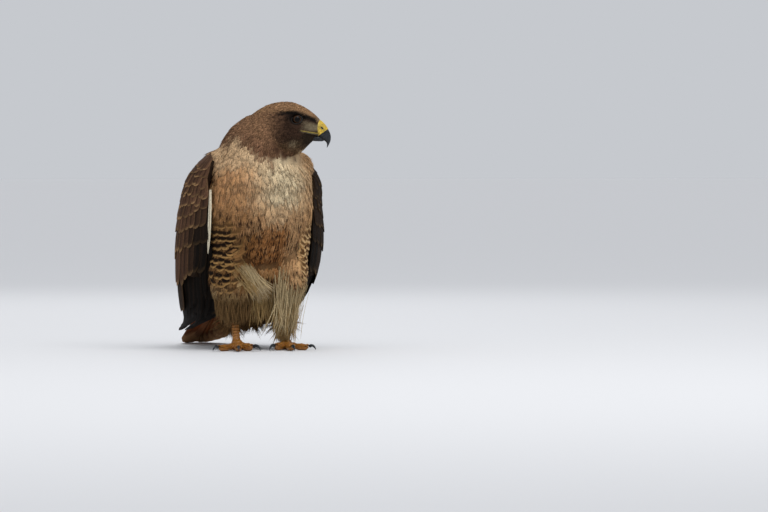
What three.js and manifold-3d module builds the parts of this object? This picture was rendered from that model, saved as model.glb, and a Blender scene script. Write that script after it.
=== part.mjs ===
// A life-size red-tailed hawk standing upright on a floor, its head turned to its left.
// Millimetres, +Z up, the breast towards -Y, the floor at z = 0. The sizes below are measured
// from the point between the feet, and the finished group is moved at the end.
import * as THREE from "three";
import { mergeVertices } from "three/addons/utils/BufferGeometryUtils.js";
import Module from "manifold-3d";

const wasm = await Module();
wasm.setup();

// Driving dimensions
const GAP = 0.3; // clearance between neighbouring pieces
const VANE = 0.7; // thickness of a feather's vane
const TAIL_LENGTH = 213;
const TAIL_DROOP = THREE.MathUtils.degToRad(30.2); // the tail's slope below the horizontal
const HEAD_YAW = THREE.MathUtils.degToRad(-22); // the bill's direction, from +X
const EYE_RADIUS = 7.6;
const FOOT_SPREAD = 37; // from the middle plane to the middle of a foot
const TOE_RADIUS = 5.2;
const FLAT_DEPTH = 0.7; // how much of a toe's round underside is flattened by the floor

const X = new THREE.Vector3(1, 0, 0);
const UP = new THREE.Vector3(0, 0, 1);
const v3 = (x, y, z) => new THREE.Vector3(x, y, z);
const lerp = THREE.MathUtils.lerp;
const curve = (points) => new THREE.CatmullRomCurve3(points, false, "catmullrom");

// Repeatable small differences between like feathers
let seed = 7;
function jitter(amount) {
  seed = (seed * 16807) % 2147483647;
  return amount * ((2 * seed) / 2147483647 - 1);
}

// Solids

/** The closed solid of a geometry, its faces turned outwards. */
function solid(geometry) {
  const bare = new THREE.BufferGeometry()
    .setAttribute("position", geometry.attributes.position)
    .setIndex(geometry.index);
  const merged = mergeVertices(bare, 1e-4);
  const vertProperties = new Float32Array(merged.attributes.position.array);
  const triVerts = new Uint32Array(merged.index.array);
  const [a, b, c] = [v3(), v3(), v3()];
  const corner = (into, i) => into.fromArray(vertProperties, 3 * triVerts[i]);
  let volume = 0;
  for (let i = 0; i < triVerts.length; i += 3)
    volume += corner(a, i).dot(corner(b, i + 1).cross(corner(c, i + 2)));
  if (volume < 0)
    for (let i = 0; i < triVerts.length; i += 3)
      [triVerts[i + 1], triVerts[i + 2]] = [triVerts[i + 2], triVerts[i + 1]];
  return new wasm.Manifold(new wasm.Mesh({ numProp: 3, vertProperties, triVerts }));
}

/** One solid of several, without the scraps that a cut leaves. */
function fuse(...pieces) {
  const bodies = wasm.Manifold.union(pieces).decompose();
  return bodies.reduce((best, body) => (body.volume() > best.volume() ? body : best));
}

/** What is left of a solid in front of a plane through a point, half a gap clear of it. */
function front(piece, normal, point) {
  const n = normal.clone().normalize();
  return fuse(piece.trimByPlane(n.toArray(), n.dot(point) + GAP / 2));
}

/** A solid without the room that its neighbours take. */
const clearOf = (piece, ...neighbours) => fuse(piece.subtract(wasm.Manifold.union(neighbours)));

/** The mirror image on the other side of the middle plane. */
const mirrored = (piece) => piece.mirror([1, 0, 0]);

/** A closed skin whose rings are at(t, angle), t from 0 to 1; the end rings are points. */
function loft(at, around, along) {
  const skin = new THREE.SphereGeometry(1, around, along);
  const { position, uv } = skin.attributes;
  for (let i = 0; i < position.count; i++) {
    const turn = uv.getX(i) % 1;
    const p = at(THREE.MathUtils.clamp(1 - uv.getY(i), 0, 1), 2 * Math.PI * turn);
    position.setXYZ(i, p.x, p.y, p.z);
  }
  return solid(skin);
}

/** An ellipsoid with its own radii, turned about Z and then Y. */
function ellipsoid(centre, radii, yaw = 0, pitch = 0, around = 16) {
  const ball = new THREE.SphereGeometry(1, around, Math.round(around / 2));
  ball.scale(...radii).rotateY(pitch).rotateZ(yaw).translate(...centre);
  return solid(ball);
}

/**
 * The surface of a rounded limb or trunk through rows of [x, y, z, half width, front depth, back
 * depth], from its lower end to its upper: a function of the share t along it, the angle round
 * it and the height above it. The half width lies along X.
 */
function surface(rows, full = 1) {
  const places = curve(rows.map(([x, y, z]) => v3(x, y, z)));
  const sizes = curve(rows.map(([, , , w, f, b]) => v3(w, f, b)));
  const round = (value) => Math.sign(value) * Math.abs(value) ** full;
  return (t, angle, height) => {
    const tangent = places.getTangent(t);
    const side = X.clone().addScaledVector(tangent, -tangent.x).normalize();
    const ahead = side.clone().cross(tangent).normalize();
    const size = sizes.getPoint(t);
    const depth = (Math.sin(angle) > 0 ? size.y : size.z) + height;
    return places
      .getPoint(t)
      .addScaledVector(side, (size.x + height) * round(Math.cos(angle)))
      .addScaledVector(ahead, depth * round(Math.sin(angle)));
  };
}

/** The closed solid of such rows, whose first and last rows are points. */
function body(rows, { around = 12, along = 10, grow = 0, full = 1 } = {}) {
  const skin = surface(rows, full);
  const ends = [rows[0], rows[rows.length - 1]].map(([x, y, z]) => v3(x, y, z));
  const axis = ends[1].clone().sub(ends[0]).normalize();
  return loft(
    (t, angle) => {
      if (t < 1e-6) return ends[0].clone().addScaledVector(axis, -grow);
      if (t > 1 - 1e-6) return ends[1].clone().addScaledVector(axis, grow);
      return skin(t, angle, grow);
    },
    around,
    along,
  );
}

/** A round horn or toe along a curve, radius(t) thick, with a flattening across. */
function horn(points, radius, { around = 8, along = 7, grow = 0, squash = 1 } = {}) {
  const line = curve(points);
  return loft(
    (t, angle) => {
      const centre = line.getPoint(t);
      const tangent = line.getTangent(t);
      if (t < 1e-6 || t > 1 - 1e-6) return centre.addScaledVector(tangent, t < 0.5 ? -grow : grow);
      const side = tangent.clone().cross(UP).normalize();
      const above = side.clone().cross(tangent).normalize();
      const r = radius(t) + grow;
      return centre
        .addScaledVector(side, r * squash * Math.cos(angle))
        .addScaledVector(above, r * Math.sin(angle));
    },
    around,
    along,
  );
}

/**
 * One feather or lock, a thin sheet laid from root to tip on place(a, b, height). The outline's
 * rows are the share along it and the share of its width; one edge stands higher by the tilt.
 */
function vane(place, { root, tip, width, lift, tilt = 0, fine = false, outline, thick = VANE }) {
  const stations = outline.length - 1;
  const across = fine ? [-1, 0, 1] : [-1, 1];
  const ring = across.length * 2;
  const points = [];
  outline.forEach(([t, share], j) => {
    const a = lerp(root[0], tip[0], t);
    const b = lerp(root[1], tip[1], t);
    const h = lerp(lift[0], lift[1], t);
    const reach = place(a, b + 0.01, h).distanceTo(place(a, b - 0.01, h)) / 0.02;
    const half = (width * share) / 2 / reach;
    const rim = (j === stations ? 0.7 : 1) * (thick / 2);
    const at = (e, up) => place(a, b + e * half, h - (e * tilt) / 2 + up);
    across.forEach((e) => points.push(at(e, rim)));
    [...across].reverse().forEach((e) => points.push(at(e, -rim)));
  });
  const index = [];
  const quad = (a, b, c, d) => index.push(a, b, c, a, c, d);
  for (let j = 0; j < stations; j++)
    for (let k = 0; k < ring; k++) {
      const [p, q] = [j * ring + k, j * ring + ((k + 1) % ring)];
      if (k < across.length) quad(p, q, q + ring, p + ring);
      else quad(q, q + ring, p + ring, p);
    }
  const last = stations * ring;
  for (let k = 0; k < across.length - 1; k++) {
    const mate = ring - 1 - k;
    quad(k + 1, k, mate, mate - 1);
    quad(last + k, last + k + 1, last + mate - 1, last + mate);
  }
  return solid(new THREE.BufferGeometry().setFromPoints(points).setIndex(index));
}

// Outlines of feathers: pairs of the share along and the share of the full width
const FLIGHT = [[0, 0.55], [0.4, 0.9], [0.75, 1], [0.93, 0.75], [1, 0.22]];
const POINTED = [[0, 0.6], [0.4, 0.95], [0.74, 0.9], [0.92, 0.52], [1, 0.12]];
const COVERT = [[0, 0.6], [0.55, 1], [0.86, 0.8], [1, 0.25]];
const LOCK = [[0, 0.8], [0.45, 1], [0.8, 0.6], [1, 0.14]];

// Trunk and neck, rows for body(), from the tail's root to the crown's inside
const TRUNK = [
  [0, 130, 84, 0, 0, 0],
  [0, 119, 93, 20, 10, 9],
  [0, 100, 105, 38, 28, 21],
  [-2, 68, 131, 62, 54, 40],
  [-4, 30, 166, 77, 73, 52],
  [-5, 4, 205, 81, 78, 55],
  [-5, -8, 240, 75, 71, 52],
  [-4, -11, 265, 67, 62, 50],
  [-1, -15, 286, 60, 54, 49],
  [5, -25, 304, 51, 48, 42],
  [10, -37, 320, 42, 37, 28],
  [13, -42, 331, 30, 24, 14],
  [16, -45, 338, 0, 0, 0],
];
// The loose belly that hangs between the thighs
const BELLY = [
  [0, 32, 38, 0, 0, 0],
  [0, 31, 45, 15, 13, 13],
  [0, 26, 70, 32, 27, 29],
  [0, 20, 100, 44, 42, 38],
  [0, 16, 130, 46, 46, 40],
  [0, 16, 150, 0, 0, 0],
];

const trunk = (grow = 0) =>
  fuse(
    body(TRUNK, { around: 22, along: 23, grow, full: 0.92 }),
    body(BELLY, { around: 14, along: 8, grow }),
  );

// Head, in its own frame: x to the bill, z up, from the point between the eyes
const HEAD_AT = v3(36.4, -52.1, 327);
const headFrame = new THREE.Matrix4().makeRotationZ(HEAD_YAW).setPosition(HEAD_AT);
const inHead = (x, y, z) => v3(x, y, z).applyMatrix4(headFrame);

// Rows of [x, top, bottom, half width]
const SKULL = [
  [-78, -14, -14, 0],
  [-66, 4.5, -30, 19],
  [-51, 16.5, -42, 27],
  [-35, 23.4, -50, 30],
  [-20, 25.8, -54, 29.5],
  [-6, 25, -53, 28],
  [6, 21, -47, 24],
  [16, 15.6, -38, 18.5],
  [24.5, 9.2, -30, 14],
  [30, 4, -26, 10.6],
  [33.5, -1, -21, 7],
  [34.6, -11, -11, 0],
];

/** A loft of rows [x, z, x, z, half width] in the head's frame, each from its top to its bottom. */
function lengthwise(rows, { grow = 0, around = 14, along = 12, full = 1 } = {}) {
  const top = curve(rows.map(([x, z]) => v3(x, 0, z)));
  const bottom = curve(rows.map(([, , x, z]) => v3(x, 0, z)));
  const widths = curve(rows.map((row, i) => v3(row[4], i, 0)));
  return loft(
    (t, angle) => {
      const centre = top.getPoint(t).lerp(bottom.getPoint(t), 0.5);
      const ahead = top.getTangent(t).add(bottom.getTangent(t)).normalize();
      if (t < 1e-6 || t > 1 - 1e-6) {
        centre.addScaledVector(ahead, t < 0.5 ? -grow : grow);
        return inHead(...centre);
      }
      const half = top.getPoint(t).sub(bottom.getPoint(t)).multiplyScalar(0.5);
      half.setLength(half.length() + grow);
      const c = Math.cos(angle);
      const wide = (widths.getPoint(t).x + grow) * Math.sign(c) * Math.abs(c) ** full;
      centre.addScaledVector(half, Math.sin(angle));
      return inHead(centre.x, wide, centre.z);
    },
    around,
    along,
  );
}

const skull = (grow = 0) =>
  lengthwise(
    SKULL.map(([x, top, bottom, wide]) => [x, top, x, bottom, wide]),
    { grow, around: 18, along: 18, full: 0.88 },
  );

// The hooked upper bill with the cere, rows for lengthwise() from the culmen to the lower edge
const BILL = [
  [26.4, -9, 25.6, -15, 0],
  [29, 0, 26, -21.5, 8.8],
  [36.6, -4, 29.5, -24.5, 8.3],
  [43.2, -12.4, 34.2, -28, 6.6],
  [47.3, -21, 38.4, -30, 4.6],
  [47.6, -29, 41.3, -32.4, 2.7],
  [45.4, -35, 42.4, -35.9, 1.3],
  [42.4, -40.2, 42, -39.9, 0],
];
const bill = (grow = 0) => lengthwise(BILL, { grow, along: 13 });

// The lower bill, a shallow scoop under the hook
const SCOOP = [
  [14, -24, 14, -25, 0],
  [17, -20.5, 16, -29.6, 6.6],
  [24, -21, 23, -30.6, 7.2],
  [31, -22.6, 30, -31, 6.2],
  [36.4, -26, 35.6, -31, 3.6],
  [38, -29.6, 38, -30, 0],
];
const lowerBill = (grow = 0) => lengthwise(SCOOP, { grow, around: 12, along: 8 });

/** The yellow edge of the mouth, from the cere to under the eye. */
function gape(side, grow = 0) {
  const points = [[30.6, 8.6, -20.4], [25, 12.4, -19.6], [15, 17.8, -18.2], [4, 23.2, -16]];
  const line = points.map(([x, y, z]) => inHead(x, side * y, z));
  const radius = (t) => 1.5 * Math.sin(Math.PI * lerp(0.15, 0.9, t)) ** 0.4;
  return horn(line, radius, { around: 6, along: 8, grow });
}

function eyeBall(side, grow = 0) {
  const centre = inHead(0, side * 16.4, 0).toArray();
  const r = EYE_RADIUS + grow;
  return ellipsoid(centre, [r, r, r], 0, 0, 14);
}

/** The overhanging brow above one eye. */
const brow = (side) =>
  ellipsoid(inHead(1, side * 21.4, 9.6).toArray(), [15, 4.6, 3.4], HEAD_YAW - side * 0.32, 0.2, 10);

/** The rim of one eye's lids. */
function lids(side) {
  const rim = new THREE.TorusGeometry(6.7, 1.15, 5, 16);
  rim.scale(1.06, 0.92, 1).rotateX(Math.PI / 2).rotateZ(side * -0.12);
  rim.translate(0.2, side * 21.1, -0.2).applyMatrix4(headFrame);
  return solid(rim);
}

const socket = (side) =>
  ellipsoid(inHead(0.6, side * 27.4, -0.4).toArray(), [10.5, 6.2, 8.2], HEAD_YAW, 0, 14);

function buildHead() {
  const parts = {};
  const nape = { normal: v3(0.25, -0.3, 0.92), point: v3(8, -33, 299) };
  const whole = fuse(skull(), trunk());
  const sides = [1, -1];
  const face = fuse(
    clearOf(front(whole, nape.normal, nape.point), ...sides.map(socket)),
    ...sides.map(brow),
    ...sides.map(lids),
  );
  const split = { normal: v3(0.58, 0, -0.815), x: 32, z: -22 };
  const normal = split.normal.clone().applyAxisAngle(UP, HEAD_YAW);
  const point = inHead(split.x, 0, split.z);
  const nostrils = sides.map((side) =>
    ellipsoid(inHead(35.6, side * 7.6, -12.6).toArray(), [2.5, 1.9, 1.5], HEAD_YAW, 0.7, 10),
  );
  const cere = front(bill(), normal.clone().negate(), point);
  parts.cere = clearOf(cere, skull(GAP), ...nostrils, lowerBill(GAP));
  parts.bill_upper = clearOf(front(bill(), normal, point), skull(GAP), lowerBill(GAP));
  parts.bill_lower = clearOf(lowerBill(), skull(GAP));
  parts.head = clearOf(face, ...sides.map((s) => eyeBall(s, GAP)), ...sides.map((s) => gape(s, GAP)));
  for (const [side, name] of [[1, "left"], [-1, "right"]]) {
    parts["eye_" + name] = eyeBall(side);
    parts["gape_" + name] = clearOf(gape(side), bill(GAP), lowerBill(GAP));
  }
  const behind = front(fuse(trunk(), skull()), nape.normal.clone().negate(), nape.point);
  return { parts, behind };
}

// Tail, in its own frame: s along it from the root, x across, n above its plane
const TAIL_ROOT = v3(0, 96, 108);
const tailAlong = v3(0, Math.cos(TAIL_DROOP), -Math.sin(TAIL_DROOP));
const tailAbove = v3(0, Math.sin(TAIL_DROOP), Math.cos(TAIL_DROOP));
const onTail = (s, x, n) =>
  TAIL_ROOT.clone()
    .addScaledVector(tailAlong, s)
    .addScaledVector(X, x)
    .addScaledVector(tailAbove, n - 4 * Math.abs(x / 30) ** 3);
const RECTRICES = 6; // on each side
const RECTRIX = { width: 27, thick: 0.55, step: 0.8 };

function buildTail() {
  const feathers = [];
  const root = loft(
    (t, angle) => {
      const wide = Math.sin(Math.PI * t);
      return onTail(lerp(4, 58, t), 19 * wide * Math.cos(angle), 5.6 * wide * Math.sin(angle) - 4.4);
    },
    12,
    8,
  );
  for (let i = 0; i < RECTRICES; i++)
    for (const side of [1, -1]) {
      const level = -RECTRIX.step * (2 * i + (side < 0 ? 1 : 0));
      const length = TAIL_LENGTH - 1.3 * i * i + jitter(1.5);
      feathers.push(
        vane(onTail, {
          root: [14, side * (2.5 + 2.2 * i)],
          tip: [length, side * (5 + 4.1 * i)],
          width: RECTRIX.width,
          thick: RECTRIX.thick,
          lift: [level, level],
          outline: FLIGHT,
        }),
      );
    }
  const tail = clearOf(fuse(root, ...feathers), trunk(GAP));
  return fuse(tail.trimByPlane([0, 0, 1], 0));
}

/** A row of coverts over or under the tail's base. */
function tailCoverts(count, { from, to, spread, width, lift }) {
  return Array.from({ length: count }, (_, i) => {
    const x = (i - (count - 1) / 2) / ((count - 1) / 2);
    return vane(onTail, {
      root: [from, x * spread[0]],
      tip: [to - 9 * x * x + jitter(2), x * spread[1]],
      width,
      lift: lift.map((height) => height + (i % 2) * 1.4 * Math.sign(height)),
      outline: COVERT,
    });
  });
}

// Wing, for the left side, from the shoulder to the tip of the primaries. Each row holds points of
// the front edge, the crest and the back edge.
const WING = [
  [[66, -24, 272], [60, 4, 281], [40, 28, 281]],
  [[84, -28, 243], [99, 8, 247], [48, 40, 262]],
  [[87, -26, 205], [108, 22, 206], [48, 56, 232]],
  [[86, -15, 160], [109, 36, 160], [43, 78, 197]],
  [[80, 8, 112], [99, 62, 108], [31, 104, 166]],
  [[65, 38, 68], [80, 100, 68], [18, 130, 138]],
  [[53, 84, 41], [58, 148, 48], [12, 168, 100]],
  [[45, 158, 26], [44, 192, 34], [14, 206, 67]],
  [[41, 211, 17], [41, 222, 25], [27, 229, 45]],
];
// The inside of the wing's core, down to its end
const WING_INSIDE = [
  [20, -5, 262],
  [20, -6, 240],
  [20, 2, 208],
  [20, 22, 175],
  [24, 52, 138],
  [24, 85, 108],
];
// How each wing of this pose stands out from those rows: all along, at the shoulder, at the wrist
// and at the front edge near the tips
const WING_FIT = {
  left: { all: 0, shoulder: 0, wrist: -15, edge: 14 },
  right: { all: 4, shoulder: 9, wrist: 0, edge: 0 },
};
const wingLines = [0, 1, 2].map((line) => curve(WING.map((row) => v3(...row[line]))));
const wingInside = curve(WING_INSIDE.map((row) => v3(...row)));
const bell = (u, middle, width) => Math.exp(-(((u - middle) / width) ** 2));

/** The folded wing's outer surface: u from the shoulder to the tip, v from front to back. */
function wingSkin({ all, shoulder, wrist, edge }) {
  const base = (u, v) => {
    const [f, m, b] = wingLines.map((line) => line.getPoint(THREE.MathUtils.clamp(u, 0, 1)));
    f.x += edge * bell(u, 0.72, 0.12);
    f.multiplyScalar(2 * (v - 0.5) * (v - 1))
      .addScaledVector(m, 4 * v * (1 - v))
      .addScaledVector(b, 2 * v * (v - 0.5));
    f.x += all + shoulder * bell(u, 0, 0.09) + wrist * bell(u, 0.2, 0.24);
    return f;
  };
  return (u, v, h) => {
    const step = 0.01;
    const along = base(u + step, v).sub(base(u - step, v));
    const across = base(u, v + step).sub(base(u, v - step));
    return base(u, v).addScaledVector(along.cross(across).normalize(), -h);
  };
}

/** The wing's fleshy and coverted core, under its feathers, from the shoulder to share `end`. */
function wingCore(skin, end) {
  const depth = (u) => lerp(0.42, 0.04, THREE.MathUtils.smoothstep(u, 0.3, end));
  return loft(
    (t, angle) => {
      const u = end * t;
      if (t < 1e-6) return v3(46, 0, 270);
      if (t > 1 - 1e-6) return skin(end + 0.01, 0.5, -1);
      const outer = angle <= Math.PI;
      const v = outer ? angle / Math.PI : 2 - angle / Math.PI;
      const p = skin(u, lerp(0.02, 0.98, v), -0.6);
      if (outer) return p;
      return p.lerp(wingInside.getPoint(t), depth(u) * Math.sin(Math.PI * v) ** 0.5);
    },
    12,
    8,
  );
}

// The wing's tiers: how many, and where the row, the roots and the tips lie at both its ends
const TIERS = [
  { count: 6, row: [0.02, 0.92], root: [0.11, 0.13], tip: [0.28, 0.33], lift: 2.8, outline: COVERT },
  { count: 6, row: [0.02, 0.93], root: [0.2, 0.24], tip: [0.38, 0.45], lift: 3, outline: COVERT },
  { count: 6, row: [0.02, 0.93], root: [0.29, 0.35], tip: [0.49, 0.58], lift: 4, outline: COVERT },
  { count: 7, row: [0.32, 0.94], root: [0.46, 0.5], tip: [0.64, 0.8], lift: 3.6, outline: FLIGHT },
];
const PRIMARIES = {
  tips: [0.84, 0.93, 0.985, 1, 0.97, 0.91, 0.84],
  row: [0.05, 0.5],
  width: 17,
  step: 0.75,
  top: -0.4,
};

function buildWing(fit) {
  const skin = wingSkin(fit);
  const feathers = [];
  const arc = (u) => skin(u, 0.55, 0).distanceTo(skin(u, 0.45, 0)) * 10;
  for (const { count, row, root, tip, lift, outline } of TIERS)
    for (let i = 0; i < count; i++) {
      const share = (i + 0.5) / count;
      const v = lerp(...row, share);
      const end = lerp(...tip, share) + jitter(0.006);
      const spacing = ((row[1] - row[0]) * arc(end)) / count;
      feathers.push(
        vane(skin, {
          root: [lerp(...root, share), v],
          tip: [end, v + jitter(0.008)],
          width: Math.max(14, 1.4 * spacing),
          lift: [-2.8, lift],
          tilt: 2.2,
          fine: outline === FLIGHT,
          outline,
        }),
      );
    }
  PRIMARIES.tips.forEach((tip, i) => {
    const last = PRIMARIES.tips.length - 1;
    const v = lerp(...PRIMARIES.row, i / last);
    const level = PRIMARIES.top - PRIMARIES.step * (last - i);
    feathers.push(
      vane(skin, {
        root: [0.53, v],
        tip: [tip, v + 0.1],
        width: PRIMARIES.width,
        lift: [level - 0.5, level],
        tilt: 1.2,
        outline: POINTED,
      }),
    );
  });
  return fuse(wingCore(skin, 0.6), ...feathers);
}

// Legs, for the left side, rows for body() from the lower end to the upper
const THIGH = [
  [38, 6, 42, 0, 0, 0],
  [38, 6, 47, 11, 13, 11],
  [39, 5, 62, 21, 22, 19],
  [41, 2, 86, 30, 32, 28],
  [42.5, -2, 112, 34, 37, 32],
  [42, 0, 138, 28, 31, 30],
  [42, 4, 150, 0, 0, 0],
];
const thigh = (grow = 0) => body(THIGH, { around: 12, along: 8, grow });
const TARSUS = [
  [FOOT_SPREAD + 1, 8, 66, 0, 0, 0],
  [FOOT_SPREAD + 1, 8, 62, 5, 5.5, 5.5],
  [FOOT_SPREAD + 0.6, 4, 38, 4.6, 5.2, 5.2],
  [FOOT_SPREAD, -2, 18, 5.6, 6, 6],
  [FOOT_SPREAD, -5, 8, 6.4, 6.6, 6.6],
  [FOOT_SPREAD, -6, 4, 0, 0, 0],
].reverse();
const tarsus = (grow = 0) => body(TARSUS, { around: 10, along: 10, grow });

// The surface that the loose feathers round a thigh hang on, down to the foot
const COAT = [
  [38, 6, 12, 8.5, 10, 8.5],
  [38, 6, 38, 12, 14, 12],
  [39, 5, 62, 22, 23, 20],
  [41, 2, 86, 31, 33, 29],
  [42.5, -2, 112, 34, 37, 32],
  [42, 0, 138, 31, 34, 30],
];
const LOCKS = [
  { count: 8, root: 0.24, tip: 0.62, width: 19, lift: 3.8 },
  { count: 6, root: 0.54, tip: null, width: 14, lift: 3.4 },
];

/** The loose feathers that hang round a thigh, the last row down to the hem's share of the coat. */
function trousers(hem) {
  const coat = surface(COAT);
  const onCoat = (a, b, h) => coat(THREE.MathUtils.clamp(1 - a, 0.005, 1), 2 * Math.PI * b, h);
  return LOCKS.flatMap(({ count, root, tip, width, lift }, row) =>
    Array.from({ length: count }, (_, i) => {
      const b = (i + 0.25 + row / 2) / count;
      return vane(onCoat, {
        root: [root, b],
        tip: [(tip ?? hem) + jitter(0.03), b + jitter(0.01)],
        width,
        lift: [-2.5, lift],
        tilt: 2,
        outline: LOCK,
      });
    }),
  );
}

// The toes: their turn from straight ahead, outwards, and the lengths of toe and claw
const TOES = [
  { name: "hind", turn: 176, length: 25, claw: 25, thick: 1.05 },
  { name: "inner", turn: -34, length: 27, claw: 23, thick: 1.08 },
  { name: "middle", turn: 4, length: 42, claw: 19, thick: 1 },
  { name: "outer", turn: 48, length: 33, claw: 16, thick: 0.92 },
];
const FOOT_AT = v3(FOOT_SPREAD, -7, 0);
// Each leg: how far down its loose feathers hang, and how far its foot is turned outwards
const LEGS = { left: { hem: 0.97, yaw: -14 }, right: { hem: 0.79, yaw: 14 } };

function toeParts({ turn, length, claw, thick }, yaw) {
  const angle = THREE.MathUtils.degToRad(turn + yaw);
  const ahead = v3(Math.sin(angle), -Math.cos(angle), 0);
  const r = TOE_RADIUS * thick;
  const at = (s, z) => FOOT_AT.clone().addScaledVector(ahead, s).setZ(z);
  const low = r - FLAT_DEPTH;
  const reach = length + 7;
  const toe = horn(
    [at(0, low + 2.5), at(reach * 0.3, low + 2), at(reach * 0.6, low + 0.5), at(reach, low)],
    (t) => r * (t < 0.9 ? 1 + 0.12 * Math.cos(6 * Math.PI * t) : 0.82),
    { along: 8 },
  );
  const start = reach - 1.5;
  const talon = horn(
    [[0, low + 0.6], [0.4, low + 3.2], [0.72, low], [0.8, 0.4]].map(([s, z]) => at(start + claw * s, z)),
    (t) => 3.1 * thick * (1 - t) ** 0.75,
    { around: 7, along: 7, squash: 0.85 },
  );
  const tipPlane = at(start + 0.4, 0);
  return {
    toe: front(toe, ahead.clone().negate(), tipPlane),
    talon: front(talon, ahead, tipPlane),
  };
}

function buildLeg(name, { hem, yaw }) {
  const flip = name === "left" ? (piece) => piece : mirrored;
  const parts = {};
  const toes = TOES.map((toe) => toeParts(toe, yaw));
  const palm = ellipsoid([FOOT_SPREAD, -6, 9], [8.6, 10.5, 8.8], 0, 0, 10);
  const ankle = v3(FOOT_SPREAD, -3, 15);
  const foot = fuse(front(fuse(tarsus(), palm), UP.clone().negate(), ankle), ...toes.map((t) => t.toe));
  parts["foot_" + name] = fuse(foot.trimByPlane([0, 0, 1], 0));
  TOES.forEach((toe, i) => (parts["claw_" + toe.name + "_" + name] = toes[i].talon));
  parts["tarsus_" + name] = front(tarsus(), UP, ankle);
  const loose = fuse(thigh(), ...trousers(hem));
  parts["thigh_" + name] = clearOf(loose, flip(trunk(GAP)), tarsus(GAP));
  return Object.fromEntries(Object.entries(parts).map(([key, piece]) => [key, flip(piece)]));
}

// Materials by what the surface is
const finish = (color, roughness) => new THREE.MeshStandardMaterial({ color, roughness, metalness: 0 });
const BROWN = finish("#5b4130", 0.85);
const DARK_BROWN = finish("#3a2a20", 0.8);
const BUFF = finish("#b08a5c", 0.9);
const CREAM = finish("#b39a6c", 0.9);
const RUFOUS = finish("#8a4a22", 0.8);
const YELLOW = finish("#c9a227", 0.5);
const ORANGE = finish("#b3702a", 0.6);
const HORN = finish("#2b2d31", 0.35);
const EYE = finish("#2a1a10", 0.1);

const hawk = new THREE.Group();

function add(name, piece, material) {
  const made = piece.getMesh();
  const geometry = new THREE.BufferGeometry()
    .setAttribute("position", new THREE.BufferAttribute(new Float32Array(made.vertProperties), 3))
    .setIndex(new THREE.BufferAttribute(new Uint32Array(made.triVerts), 1));
  geometry.computeVertexNormals();
  const mesh = new THREE.Mesh(geometry, material);
  mesh.name = name;
  hawk.add(mesh);
}

const { parts: headParts, behind } = buildHead();
for (const [name, piece] of Object.entries(headParts)) {
  const yellow = name === "cere" || name.startsWith("gape");
  const colour = name.startsWith("eye") ? EYE : name.startsWith("bill") ? HORN : yellow ? YELLOW : BROWN;
  add(name, piece, colour);
}

const collar = { normal: v3(0, -0.12, 1), point: v3(0, -12, 265) };
const waist = { normal: v3(0, -0.72, 0.69), point: v3(0, 76, 124) };
add("neck", front(behind, collar.normal, collar.point), BROWN);
const below = front(behind, collar.normal.clone().negate(), collar.point);
add("torso", front(below, waist.normal, waist.point), BUFF);
const rump = fuse(
  front(below, waist.normal.clone().negate(), waist.point),
  ...tailCoverts(5, { from: -8, to: 78, spread: [16, 23], width: 17, lift: [9.5, 5] }),
  ...tailCoverts(5, { from: -8, to: 92, spread: [13, 19], width: 15, lift: [-14, -13.5] }),
);
add("rump", rump, BROWN);
add("tail", buildTail(), RUFOUS);

for (const [name, fit] of Object.entries(WING_FIT)) {
  const wing = clearOf(buildWing(fit), thigh(GAP));
  add("wing_" + name, clearOf(name === "left" ? wing : mirrored(wing), trunk(GAP)), DARK_BROWN);
}
for (const [name, leg] of Object.entries(LEGS))
  for (const [part, piece] of Object.entries(buildLeg(name, leg))) {
    const horny = part.startsWith("claw");
    add(part, piece, horny ? HORN : part.startsWith("thigh") ? CREAM : ORANGE);
  }

// The origin goes on the floor under the middle of the bird's box
const middle = new THREE.Box3().setFromObject(hawk).getCenter(v3());
hawk.position.set(-middle.x, -middle.y, 0);

export default hawk;
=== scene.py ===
"""Looks of a life-size red-tailed hawk standing on a pale floor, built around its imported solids.

Sizes are millimetres in the frame of the part's source, breast towards -Y and the floor at 0.
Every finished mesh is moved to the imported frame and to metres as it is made.
"""

import logging
import math
from dataclasses import dataclass, field
from enum import Enum
from typing import Callable, Sequence

import bpy
import numpy as np
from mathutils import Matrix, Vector
from mathutils.bvhtree import BVHTree


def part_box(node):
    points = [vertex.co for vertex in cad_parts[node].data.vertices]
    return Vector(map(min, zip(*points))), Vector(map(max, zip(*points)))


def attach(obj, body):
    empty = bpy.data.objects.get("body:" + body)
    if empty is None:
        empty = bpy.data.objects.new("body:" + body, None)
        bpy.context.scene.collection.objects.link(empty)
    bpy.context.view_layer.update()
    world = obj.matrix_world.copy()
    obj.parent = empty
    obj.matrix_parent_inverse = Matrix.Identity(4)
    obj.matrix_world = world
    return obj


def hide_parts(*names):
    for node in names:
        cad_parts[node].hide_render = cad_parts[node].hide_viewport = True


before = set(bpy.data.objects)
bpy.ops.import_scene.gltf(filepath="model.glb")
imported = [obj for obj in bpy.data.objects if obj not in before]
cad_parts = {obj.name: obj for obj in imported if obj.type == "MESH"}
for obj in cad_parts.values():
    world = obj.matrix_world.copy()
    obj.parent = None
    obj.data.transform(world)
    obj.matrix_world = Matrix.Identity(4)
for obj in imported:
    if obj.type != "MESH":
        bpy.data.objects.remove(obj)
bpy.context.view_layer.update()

log = logging.getLogger("hawk")

Array = np.ndarray
Place = Callable[[Array, Array, Array], Array]
Form = tuple[Array, Array]
Piece = bpy.types.Object
Material = bpy.types.Material
Random = np.random.Generator
Pair = tuple[float, float]
Triple = tuple[float, float, float]
Rows = Sequence[Sequence[float]]

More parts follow.
